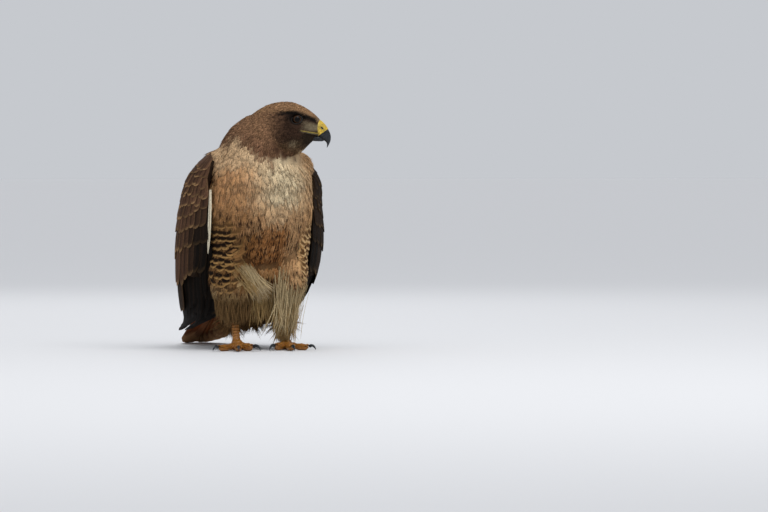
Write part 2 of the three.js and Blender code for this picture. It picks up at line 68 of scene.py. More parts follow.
MM = 0.001
IMAGE_SIZE = (768, 512)
MM_PER_PIXEL = 1.42
HEAD_AT = np.array([36.4, -52.1, 327.0])
HEAD_YAW = math.radians(-22)
EYE_OUT = 16.4
EYE_RADIUS = 7.6
BLACK = np.zeros(3)
TAIL_ROOT = np.array([0.0, 96.0, 108.0])
TAIL_DROOP = math.radians(30.2)
TAIL_LENGTH = 213.0
PATCH_SIZE = 0.003
PHASES = 6.28
SIDES = ((1, "left"), (-1, "right"))
NAPE_POINT = np.array([8.0, -33.0, 299.0])
NAPE_NORMAL = np.array([0.25, -0.3, 0.92])


def frame_shift() -> Array:
    """The move in millimetres from the source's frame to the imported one, read off the left eye.

    Returns:
        One point.
    """
    low, high = (np.array(corner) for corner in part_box("eye_left"))
    eye = HEAD_AT + EYE_OUT * np.array([-math.sin(HEAD_YAW), math.cos(HEAD_YAW), 0.0])
    return np.append(((low + high) / 2 / MM - eye)[:2], 0.0)


SHIFT = frame_shift()


def linear(hex_colour: str) -> Array:
    """Turns an sRGB hex colour to linear red, green and blue."""
    srgb = np.array([int(hex_colour[i : i + 2], 16) / 255 for i in (1, 3, 5)])
    return np.where(srgb <= 0.04045, srgb / 12.92, ((srgb + 0.055) / 1.055) ** 2.4)


def smooth(value: Array, low: float, high: float) -> Array:
    """A soft step of value from 0 at low to 1 at high."""
    x = np.clip((value - low) / (high - low), 0, 1)
    return x * x * (3 - 2 * x)


def bell(value: Array, middle: Array | float, width: float) -> Array:
    """A smooth bump of height 1 round the middle."""
    return np.exp(-(((value - middle) / width) ** 2))


def blend(a: Array, b: Array, share: Array) -> Array:
    """Mixes colours or vectors a and b row by row."""
    share = np.asarray(share)[..., None]
    return a * (1 - share) + b * share


def unit(v: Array) -> Array:
    """Rows of v at length 1."""
    return v / np.maximum(np.linalg.norm(v, axis=-1, keepdims=True), 1e-9)


def spline(rows: Rows, t: Array) -> Array:
    """Points on the smooth curve through rows.

    Args:
        rows: the curve's points, of any number of columns.
        t: shares along it, 0 to 1.

    Returns:
        One row for each share.
    """
    p = np.asarray(rows, float)
    p = np.vstack([2 * p[0] - p[1], p, 2 * p[-1] - p[-2]])
    x = np.clip(np.asarray(t, float), 0, 1) * (len(p) - 3)
    i = np.minimum(x.astype(int), len(p) - 4)
    w = (x - i)[..., None]
    a, b, c, d = p[i], p[i + 1], p[i + 2], p[i + 3]
    m0, m1 = (c - a) / 2, (d - b) / 2
    w2, w3 = w * w, w * w * w
    return (2 * w3 - 3 * w2 + 1) * b + (w3 - 2 * w2 + w) * m0 + (3 * w2 - 2 * w3) * c + (w3 - w2) * m1


def waves(points: Array, size: float, seed: int) -> Array:
    """Smooth repeatable variation over space.

    Args:
        points: places in mm.
        size: the width of its features in mm.
        seed: picks its course.

    Returns:
        A value for each place, about -1 to 1.
    """
    rng = np.random.default_rng(seed)
    total = np.zeros(points.shape[:-1])
    for octave in range(5):
        way = unit(rng.normal(size=3)) * (2 * math.pi / size) * (0.7 + 0.35 * octave)
        total += np.sin(points @ way + rng.uniform(0, PHASES)) * (0.6 / (1 + 0.25 * octave))
    return total / 1.3


def in_head(x: Array, y: Array, z: Array) -> Array:
    """Turns places in the head's own frame to the source's frame.

    Args:
        x: distances towards the bill's tip.
        y: distances to the bird's left.
        z: heights.

    Returns:
        The points.
    """
    c, s = math.cos(HEAD_YAW), math.sin(HEAD_YAW)
    x, y, z = np.broadcast_arrays(x, y, z)
    return HEAD_AT + np.stack([c * x - s * y, s * x + c * y, z], -1)


def to_head(points: Array) -> Array:
    """Points of the source's frame in the head's own frame.

    Args:
        points: places in the source's frame.

    Returns:
        The same places in the head's frame.
    """
    c, s = math.cos(HEAD_YAW), math.sin(HEAD_YAW)
    d = points - HEAD_AT
    return np.stack([c * d[..., 0] + s * d[..., 1], -s * d[..., 0] + c * d[..., 1], d[..., 2]], -1)


@dataclass
class Mesh:
    """Vertices and triangles with a colour and two maps for each vertex."""

    points: list[Array] = field(default_factory=list)
    faces: list[Array] = field(default_factory=list)
    colours: list[Array] = field(default_factory=list)
    vane: list[Array] = field(default_factory=list)
    bake: list[Array] = field(default_factory=list)
    count: int = 0

    def add(self, points: Array, faces: Array, colours: Array, vane: Array, bake: Array) -> None:
        """Appends one lot of vertices, with triangles numbered from its own first vertex.

        Args:
            points: the vertices.
            faces: the triangles.
            colours: one linear colour, or one a vertex.
            vane: the place across and along a feather for each vertex.
            bake: the place on the bake map for each vertex.
        """
        self.points.append(points.reshape(-1, 3))
        self.faces.append(faces.reshape(-1, 3) + self.count)
        self.colours.append(np.broadcast_to(colours, points.shape).reshape(-1, 3))
        self.vane.append(vane.reshape(-1, 2))
        self.bake.append(bake.reshape(-1, 2))
        self.count += points.reshape(-1, 3).shape[0]

    def add_form(self, points: Array, faces: Array, colour: Array, bake: Array | float = 0.0) -> None:
        """Appends a closed form in one colour.

        Args:
            points: its vertices.
            faces: its triangles.
            colour: its linear colour.
            bake: its place on the bake map.
        """
        flat = np.zeros((len(points), 2))
        self.add(points, faces, colour, flat, flat + bake)

    def build(self, name: str) -> Piece:
        """Makes the Blender object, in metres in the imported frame, shaded smooth.

        Args:
            name: its name.

        Returns:
            The object.
        """
        points = (np.concatenate(self.points) + SHIFT) * MM
        faces = np.concatenate(self.faces).astype(np.int32)
        mesh = bpy.data.meshes.new(name)
        mesh.vertices.add(len(points))
        mesh.vertices.foreach_set("co", points.ravel())
        mesh.loops.add(faces.size)
        mesh.loops.foreach_set("vertex_index", faces.ravel())
        mesh.polygons.add(len(faces))
        mesh.polygons.foreach_set("loop_start", np.arange(0, faces.size, 3, dtype=np.int32))
        mesh.polygons.foreach_set("use_smooth", np.ones(len(faces), bool))
        lay_maps(mesh, *(np.concatenate(rows) for rows in (self.colours, self.bake, self.vane)))
        mesh.update()
        mesh.validate()
        return add_object(name, mesh)


def add_object(name: str, data: bpy.types.ID) -> Piece:
    """Puts a new object with its data into the scene.

    Args:
        name: its name.
        data: its mesh, lamp or camera.

    Returns:
        The object.
    """
    made = bpy.data.objects.new(name, data)
    bpy.context.collection.objects.link(made)
    return made


def finish_piece(piece: Piece, material: Material, slot: str, *nodes: str) -> None:
    """Dresses a piece, rides it on the still body and hides the solids that it stands for.

    Args:
        piece: the piece.
        material: its finish.
        slot: the material slot that it belongs to; not used.
        *nodes: the solids that it replaces, if any.
    """
    piece.data.materials.clear()
    piece.data.materials.append(material)
    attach(piece, "root")
    if nodes:
        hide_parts(*nodes)
    log.info("%s: %d faces", piece.name, len(piece.data.polygons))


def read_points(mesh: bpy.types.Mesh) -> Array:
    """The places of a mesh's vertices in the source's frame.

    Args:
        mesh: the mesh.

    Returns:
        One point for each vertex.
    """
    flat = np.empty(len(mesh.vertices) * 3)
    mesh.vertices.foreach_get("co", flat)
    return flat.reshape(-1, 3) / MM - SHIFT


def write_points(mesh: bpy.types.Mesh, points: Array) -> None:
    """Moves a mesh's vertices to places in the source's frame."""
    mesh.vertices.foreach_set("co", ((points + SHIFT) * MM).ravel())
    mesh.update()


def with_alpha(colours: Array) -> Array:
    """Rows of red, green and blue as one flat row with a full alpha for each."""
    return np.column_stack([colours, np.ones(len(colours))]).ravel()


def lay_maps(mesh: bpy.types.Mesh, colours: Array, bake: Array, vane: Array) -> None:
    """Gives a mesh its colours and its two maps.

    Args:
        mesh: the mesh.
        colours: a linear colour for each vertex.
        bake: a place on the bake map for each vertex.
        vane: a place across and along a feather for each vertex.
    """
    loops = np.empty(len(mesh.loops), dtype=np.int32)
    mesh.loops.foreach_get("vertex_index", loops)
    coat = mesh.color_attributes.new("Coat", "FLOAT_COLOR", "POINT")
    coat.data.foreach_set("color", with_alpha(colours))
    for title, rows in (("OFBake", bake), ("Vane", vane)):
        mesh.uv_layers.new(name=title).data.foreach_set("uv", rows[loops].ravel())


def feed(node: bpy.types.Node, inputs: dict) -> None:
    """Sets a node's sockets, each to a value or to the socket that feeds it.

    Args:
        node: the node.
        inputs: values or feeding sockets, by socket name or number.
    """
    for key, value in inputs.items():
        if isinstance(value, bpy.types.NodeSocket):
            node.id_data.links.new(value, node.inputs[key])
        else:
            node.inputs[key].default_value = value


def add_node(tree: bpy.types.NodeTree, kind: str, inputs: dict | None = None, **settings) -> bpy.types.Node:
    """Adds a shader node.

    Args:
        tree: the material's node tree.
        kind: the node's type, without ShaderNode before it.
        inputs: values or feeding sockets, by socket name or number.
        **settings: properties of the node.

    Returns:
        The new node.
    """
    node = tree.nodes.new("ShaderNode" + kind)
    for key, value in settings.items():
        setattr(node, key, value)
    feed(node, inputs or {})
    return node


def set_ramp(node: bpy.types.Node, stops: Sequence[tuple[float, str]]) -> None:
    """Sets the stops of a colour ramp.

    Args:
        node: the ramp.
        stops: each stop's place and its hex colour.
    """
    elements = node.color_ramp.elements
    while len(elements) < len(stops):
        elements.new(0.5)
    for element, (position, colour) in zip(elements, stops):
        element.position = position
        element.color = (*linear(colour), 1)


def start_material(name: str) -> tuple[Material, bpy.types.NodeTree, bpy.types.Node]:
    """Makes a material with its first nodes.

    Args:
        name: its name.

    Returns:
        The material, its node tree and its shader.
    """
    made = bpy.data.materials.new(name)
    made.use_nodes = True
    return made, made.node_tree, made.node_tree.nodes["Principled BSDF"]


MULTIPLIED = {"data_type": "RGBA", "blend_type": "MULTIPLY"}


@dataclass(frozen=True)
class Plumage:
    """Contour and flight feathers: keratin barbs that part into fine ribs, matt, with hardly any sheen."""

    name: str
    roughness: float = 0.85
    sheen: float = 0.01
    barb_mm: float = 0.9
    feather_mm: float = 40.0
    relief: float = 0.3
    relief_mm: float = 0.2
    slant: float = 0.28
    patches_to_mm: float = 0.65

    def material(self) -> Material:
        """Colour from the coat's own attribute, broken up by barbs that slant from the shaft.

        Returns:
            The material.
        """
        made, tree, shader = start_material(self.name)
        coat = add_node(tree, "VertexColor", layer_name="Coat")
        vane = add_node(tree, "UVMap", uv_map="Vane")
        parts = add_node(tree, "SeparateXYZ", {0: vane.outputs[0]})
        out = add_node(tree, "Math", {0: parts.outputs[0]}, operation="ABSOLUTE")
        fall = add_node(tree, "Math", {0: out.outputs[0], 1: self.slant}, operation="MULTIPLY")
        barb = {0: parts.outputs[1], 1: fall.outputs[0]}
        line = add_node(tree, "Math", barb, operation="SUBTRACT")
        # Ribs at the barbs' own spacing, which gives the vane its fine grain
        ribs = 2 * math.pi * self.feather_mm / self.barb_mm
        phase = add_node(tree, "Math", {0: line.outputs[0], 1: ribs}, operation="MULTIPLY")
        wave = add_node(tree, "Math", {0: phase.outputs[0]}, operation="SINE")
        rib_range = {0: wave.outputs[0], 1: -1.0, 2: 1.0, 3: 0.9, 4: 1.06}
        rib_shade = add_node(tree, "MapRange", rib_range)
        # Mottling about 1.5 mm across, as worn barbs part and show the layer under them
        place = add_node(tree, "TexCoord").outputs["Object"]
        worn = {"Vector": place, "Scale": self.patches_to_mm / MM, "Detail": 3.0}
        grain = add_node(tree, "TexNoise", worn)
        shade = add_node(tree, "MapRange", {0: grain.outputs[0], 1: 0.3, 2: 0.7, 3: 0.72, 4: 1.28})
        both = {0: shade.outputs[0], 1: rib_shade.outputs[0]}
        tone = add_node(tree, "Math", both, operation="MULTIPLY")
        toned = {0: 1.0, 6: coat.outputs[0], 7: tone.outputs[0]}
        shown = add_node(tree, "Mix", toned, **MULTIPLIED)
        relief = {"Strength": self.relief, "Distance": self.relief_mm * MM, "Height": wave.outputs[0]}
        finish = {
            "Base Color": shown.outputs[2],
            "Roughness": self.roughness,
            "Sheen Weight": self.sheen,
            "Sheen Roughness": 0.5,
            "Specular IOR Level": 0.07,
            "Normal": add_node(tree, "Bump", relief).outputs[0],
        }
        feed(shader, finish)
        return made


@dataclass(frozen=True)
class Horn:
    """Bill and claw horn: grown keratin, polished by use, dark, smooth and a little streaked."""

    name: str
    pale: str
    dark: str
    roughness: float = 0.34
    relief_mm: float = 0.2
    streaks_to_mm: float = 0.42

    def material(self) -> Material:
        """Slate horn with faint growth streaks along it.

        Returns:
            The material.
        """
        made, tree, shader = start_material(self.name)
        # Growth streaks about 2 mm apart, which break up the gloss
        place = add_node(tree, "TexCoord").outputs["Object"]
        grown = {"Vector": place, "Scale": self.streaks_to_mm / MM, "Detail": 4.0}
        streak = add_node(tree, "TexNoise", grown).outputs[0]
        ramp = add_node(tree, "ValToRGB", {0: streak})
        set_ramp(ramp, [(0.35, self.dark), (0.75, self.pale)])
        relief = {"Strength": 0.15, "Distance": self.relief_mm * MM, "Height": streak}
        finish = {
            "Base Color": ramp.outputs[0],
            "Roughness": self.roughness,
            "IOR": 1.38,
            "Normal": add_node(tree, "Bump", relief).outputs[0],
        }
        feed(shader, finish)
        return made


@dataclass(frozen=True)
class ScaledSkin:
    """Bare skin of legs, lids or cere: small scales or smooth wax, softly glossy, a little translucent."""

    name: str
    colour: str
    crease_and_shade: str
    scale_mm: float
    relief: float
    roughness: float = 0.45
    painted: bool = False
    relief_mm: float = 0.5
    blotches_to_mm: float = 0.18
    glow_mm: float = 2.0

    def material(self) -> Material:
        """Rounded cells of the scale's size, darker in the creases: partly the skin, partly painted shade.

        Returns:
            The material.
        """
        made, tree, shader = start_material(self.name)
        place = add_node(tree, "TexCoord").outputs["Object"]
        scales = {"Vector": place, "Scale": 1 / (self.scale_mm * MM)}
        cells = add_node(tree, "TexVoronoi", scales, feature="DISTANCE_TO_EDGE").outputs[0]
        ramp = add_node(tree, "ValToRGB", {0: cells})
        # The creases' colour is partly darker skin and partly painted shade
        set_ramp(ramp, [(0.0, self.crease_and_shade), (0.12, self.colour)])
        # Blotches about 5 mm wide, as skin is never one even colour
        blotches = {"Vector": place, "Scale": self.blotches_to_mm / MM, "Detail": 3.0}
        mottle = add_node(tree, "TexNoise", blotches)
        tone = add_node(tree, "MapRange", {0: mottle.outputs[0], 1: 0.3, 2: 0.7, 3: 0.78, 4: 1.15})
        toned = {0: 1.0, 6: ramp.outputs[0], 7: tone.outputs[0]}
        shown = add_node(tree, "Mix", toned, **MULTIPLIED)
        if self.painted:
            coat = add_node(tree, "VertexColor", layer_name="Coat")
            both = {0: 1.0, 6: shown.outputs[2], 7: coat.outputs[0]}
            shown = add_node(tree, "Mix", both, **MULTIPLIED)
        relief = {"Strength": self.relief, "Distance": self.relief_mm * MM, "Height": cells}
        finish = {
            "Base Color": shown.outputs[2],
            "Roughness": self.roughness,
            "Subsurface Weight": 0.08,
            "Subsurface Scale": self.glow_mm * MM,
            "Normal": add_node(tree, "Bump", relief).outputs[0],
        }
        feed(shader, finish)
        return made


@dataclass(frozen=True)
class EyeGloss:
    """A living eye: dark brown iris round a black pupil under a wet, clear cornea."""

    name: str
    centre: Triple
    gaze: Triple
    rings: tuple[tuple[float, str], ...] = (
        (0.5, "#0b0806"),
        (0.6, "#1a0f08"),
        (0.68, "#2a190d"),
        (0.82, "#362110"),
        (0.86, "#020101"),
    )

    def material(self) -> Material:
        """Rings of rim, iris and pupil by the height towards the gaze.

        Returns:
            The material.
        """
        made, tree, shader = start_material(self.name)
        place = add_node(tree, "TexCoord").outputs["Object"]
        away = add_node(tree, "VectorMath", {0: place, 1: self.centre}, operation="SUBTRACT")
        towards = {0: away.outputs[0], 1: self.gaze}
        facing = add_node(tree, "VectorMath", towards, operation="DOT_PRODUCT").outputs["Value"]
        depth = add_node(tree, "MapRange", {0: facing, 1: 0.0, 2: EYE_RADIUS * MM})
        ramp = add_node(tree, "ValToRGB", {0: depth.outputs[0]})
        set_ramp(ramp, self.rings)
        finish = {
            "Base Color": ramp.outputs[0],
            "Roughness": 0.06,
            "IOR": 1.36,
            "Specular IOR Level": 0.22,
        }
        feed(shader, finish)
        return made


@dataclass(frozen=True)
class FloorPaint:
    """Studio floor paint, rolled on and matt, that takes a soft shadow and throws back no gloss."""

    name: str = "Studio floor, matt paint"
    colour: str = "#e4e4e5"
    roughness: float = 0.9

    def material(self) -> Material:
        """One even pale colour.

        Returns:
            The material.
        """
        made, _, shader = start_material(self.name)
        feed(shader, {"Base Color": (*linear(self.colour), 1), "Roughness": self.roughness})
        return made


# Rows of the body's surfaces: [x, y, z, half width, front depth, back depth]
TRUNK = [
    [0, 130, 84, 0, 0, 0],
    [0, 119, 93, 20, 10, 9],
    [0, 100, 105, 38, 28, 21],
    [-2, 68, 131, 62, 54, 40],
    [-4, 30, 166, 77, 73, 52],
    [-5, 4, 205, 81, 78, 55],
    [-5, -8, 240, 75, 71, 52],
    [-4, -11, 265, 67, 62, 50],
    [-1, -15, 286, 60, 54, 49],
    [5, -25, 304, 51, 48, 42],
    [10, -37, 320, 42, 37, 28],
    [13, -42, 331, 30, 24, 14],
    [16, -45, 338, 0, 0, 0],
]
BELLY = [
    [0, 32, 38, 0, 0, 0],
    [0, 31, 45, 15, 13, 13],
    [0, 26, 70, 32, 27, 29],
    [0, 20, 100, 44, 42, 38],
    [0, 16, 130, 46, 46, 40],
    [0, 16, 150, 0, 0, 0],
]
THIGH = [
    [38, 6, 34, 0, 0, 0],
    [38, 6, 40, 8, 9, 8],
    [39, 5, 62, 20, 21, 18],
    [41, 2, 86, 30, 32, 28],
    [42.5, -2, 112, 34, 37, 32],
    [42, 0, 138, 28, 31, 30],
    [42, 4, 150, 0, 0, 0],
]
# Rows in the head's frame, each [x, z] of its top, [x, z] of its bottom and the half width
SKULL = [
    [-78, -14, -78, -14, 0],
    [-66, 4.5, -66, -30, 19],
    [-51, 16.5, -51, -42, 27],
    [-35, 23.4, -35, -50, 30],
    [-20, 25.8, -20, -54, 29.5],
    [-6, 25, -6, -53, 28],
    [6, 21, 6, -47, 24],
    [16, 15.6, 16, -38, 18.5],
    [24.5, 9.2, 24.5, -30, 14],
    [30, 4, 30, -26, 10.6],
    [33.5, -1, 33.5, -21, 7],
    [34.6, -11, 34.6, -11, 0],
]
BILL = [
    [26.4, -9, 25.6, -15, 0],
    [29, 0, 26, -21.5, 8.8],
    [36.6, -4, 29.5, -24.5, 8.3],
    [43.2, -12.4, 34.2, -28, 6.6],
    [47.3, -21, 38.4, -30, 4.6],
    [47.6, -29, 41.3, -32.4, 2.7],
    [45.4, -35, 42.4, -35.9, 1.3],
    [42.4, -40.2, 42, -39.9, 0],
]
SCOOP = [
    [14, -24, 14, -25, 0],
    [17, -20.5, 16, -29.6, 6.6],
    [24, -21, 23, -30.6, 7.2],
    [31, -22.6, 30, -31, 6.2],
    [36.4, -26, 35.6, -31, 3.6],
    [38, -29.6, 38, -30, 0],
]


def lofted(at: Callable[[Array, Array], Array], around: int, along: int) -> Form:
    """A closed skin of rings whose two ends are points.

    Args:
        at: gives a point for each share along and angle round.
        around: points in a ring.
        along: steps from end to end.

    Returns:
        The points and the triangles.
    """
    t = np.linspace(0, 1, along + 1)[1:-1]
    angle = np.arange(around) * 2 * math.pi / around
    rings = at(*(grid.ravel() for grid in np.meshgrid(t, angle, indexing="ij")))
    ends = at(np.array([0.0, 1.0]), np.zeros(2))
    points = np.vstack([rings, ends])
    faces = []
    for j in range(len(t) - 1):
        a = j * around + np.arange(around)
        b = j * around + (np.arange(around) + 1) % around
        faces += [np.column_stack([a, b, b + around]), np.column_stack([a, b + around, a + around])]
    ring = np.arange(around)
    after = (ring + 1) % around
    top = (len(t) - 1) * around
    start, end = len(rings), len(rings) + 1
    faces.append(np.column_stack([after, ring, np.full(around, start)]))
    faces.append(np.column_stack([ring + top, after + top, np.full(around, end)]))
    return points, np.concatenate(faces)


def open_share(t: Array) -> Array:
    """0 at the two ends of a form, where it closes to a point, and 1 between them."""
    return np.where((t < 1e-6) | (t > 1 - 1e-6), 0, 1)


def trunk_point(rows: Rows, t: Array, angle: Array, height: float, full: float) -> Array:
    """Points on a limb or the trunk.

    Args:
        rows: its rows.
        t: shares along it.
        angle: angles round it.
        height: how far above its surface.
        full: the power of its section, 1 for an ellipse.

    Returns:
        The points.
    """
    rows = np.asarray(rows, float)
    centre = spline(rows[:, :3], t)
    tangent = unit(spline(rows[:, :3], t + 0.004) - spline(rows[:, :3], t - 0.004))
    side = unit(np.array([1.0, 0, 0]) - tangent * tangent[:, :1])
    ahead = np.cross(side, tangent)
    size = spline(rows[:, 3:], t)
    c, s = np.cos(angle), np.sin(angle)
    between = open_share(t)
    depth = (np.where(s > 0, size[:, 1], size[:, 2]) + height) * between
    wide = (size[:, 0] + height) * between
    c, s = (np.sign(v) * np.abs(v) ** full for v in (c, s))
    return centre + side * (wide * c)[:, None] + ahead * (depth * s)[:, None]


def head_point(rows: Rows, t: Array, angle: Array, height: float, full: float = 1) -> Array:
    """Points on a form of the head.

    Args:
        rows: its rows.
        t: shares along it.
        angle: angles round it.
        height: how far above its surface.
        full: the power of its section, 1 for an ellipse.

    Returns:
        The points.
    """
    rows = np.asarray(rows, float)
    line = spline(rows, t)
    centre = (line[:, :2] + line[:, 2:4]) / 2
    half = (line[:, :2] - line[:, 2:4]) / 2
    between = open_share(t)
    reach = np.linalg.norm(half, axis=1)
    half = half * ((reach + height * between) / np.maximum(reach, 1e-6))[:, None]
    c = np.cos(angle)
    y = (line[:, 4] + height) * between * np.sign(c) * np.abs(c) ** full
    place = centre + half * np.sin(angle)[:, None]
    return in_head(place[:, 0], y, place[:, 1])


def arch(front: Array, crest: Array, back: Array, v: Array) -> Array:
    """Points on the parabola from front over crest to back, at shares along it."""
    return front * 2 * (v - 0.5) * (v - 1) + crest * 4 * v * (1 - v) + back * 2 * v * (v - 0.5)


def grid_faces(number: Array) -> Array:
    """Triangles between the rows and columns of a grid of vertex numbers."""
    p, q, r, s = number[:-1, :-1], number[:-1, 1:], number[1:, 1:], number[1:, :-1]
    return np.concatenate([np.stack([p, q, r], -1).reshape(-1, 3), np.stack([p, r, s], -1).reshape(-1, 3)])


def deselect() -> None:
    """Leaves edit mode and deselects everything."""
    if bpy.context.object and bpy.context.object.mode != "OBJECT":
        bpy.ops.object.mode_set(mode="OBJECT")
    bpy.ops.object.select_all(action="DESELECT")


def pick(piece: Piece) -> None:
    """Makes a piece the one selected and active object.

    Args:
        piece: the piece.
    """
    deselect()
    piece.select_set(True)
    bpy.context.view_layer.objects.active = piece


def joined_copy(name: str, nodes: Sequence[str]) -> Piece:
    """Copies the solids of some nodes and merges their doubled vertices.

    Args:
        name: the new object's name.
        nodes: the nodes.

    Returns:
        The new object.
    """
    deselect()
    copies = []
    for node in nodes:
        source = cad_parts[node]
        twin = add_object(name, source.data.copy())
        twin.matrix_world = source.matrix_world.copy()
        copies.append(twin)
    for twin in copies:
        twin.select_set(True)
    bpy.context.view_layer.objects.active = copies[0]
    if len(copies) > 1:
        bpy.ops.object.join()
    piece = bpy.context.view_layer.objects.active
    piece.name = name
    piece.data.name = name
    bpy.ops.object.transform_apply(location=True, rotation=True, scale=True)
    bpy.ops.object.mode_set(mode="EDIT")
    bpy.ops.mesh.select_all(action="SELECT")
    bpy.ops.mesh.remove_doubles(threshold=0.00001)
    bpy.ops.object.mode_set(mode="OBJECT")
    return piece


def rounded(piece: Piece, voxel_mm: float, passes: int) -> None:
    """Remeshes a piece evenly and smooths it, with both modifiers applied.

    Args:
        piece: the piece.
        voxel_mm: the size of its new faces.
        passes: how often it is smoothed.
    """
    pick(piece)
    even = piece.modifiers.new("Even", "REMESH")
    even.mode = "VOXEL"
    even.voxel_size = voxel_mm * MM
    even.use_smooth_shade = True
    soft = piece.modifiers.new("Soft", "SMOOTH")
    soft.iterations = passes
    for modifier in ("Even", "Soft"):
        bpy.ops.object.modifier_apply(modifier=modifier)


def bake_map(points: Array) -> Array:
    """The body unwrapped by its own shape: the turn round the axis and the height along the back.

    Args:
        points: places in the source's frame.

    Returns:
        Places on the bake map.
    """
    upright = np.stack([points[..., 0], points[..., 1] + 8], -1)
    turn = np.arctan2(upright[..., 0], -upright[..., 1]) / (2 * math.pi) + 0.5
    rise = np.clip((points[..., 2] + 0.35 * (20 - points[..., 1]) + 30) / 470, 0, 1)
    return np.stack([0.01 + 0.97 * turn, 0.01 + 0.97 * rise], -1)


def feather_patch(marks: Array) -> Array:
    """Places of a feather's points on its own small patch of the bake map."""
    return PATCH_SIZE * (marks * [0.5, 1] - [0, 0.5])


def pick_colours(**table: str) -> dict[str, Array]:
    """Linear colours of named hex colours."""
    return {name: linear(value) for name, value in table.items()}


TINT = pick_colours(
    crown="#b08862",
    crown_dark="#5f4230",
    tawny="#c2976a",
    cheek="#3d2b20",
    # The brow's tint is the dark feathering and the painted shade under the brow ridge together
    brow="#15100d",
    lore="#8b7d64",
    throat="#54442f",
    chin="#2b2117",
    nape="#8f6a4f",
    nape_dark="#4e3627",
    cream="#dcc7a2",
    buff="#c39a6e",
    rufous="#ad7342",
    belly="#9c683a",
    streak="#2b170c",
    thigh="#c2a676",
    thigh_dark="#6b4f2e",
    back="#4b3626",
    back_edge="#8d6a49",
    mottle="#b79d78",
)


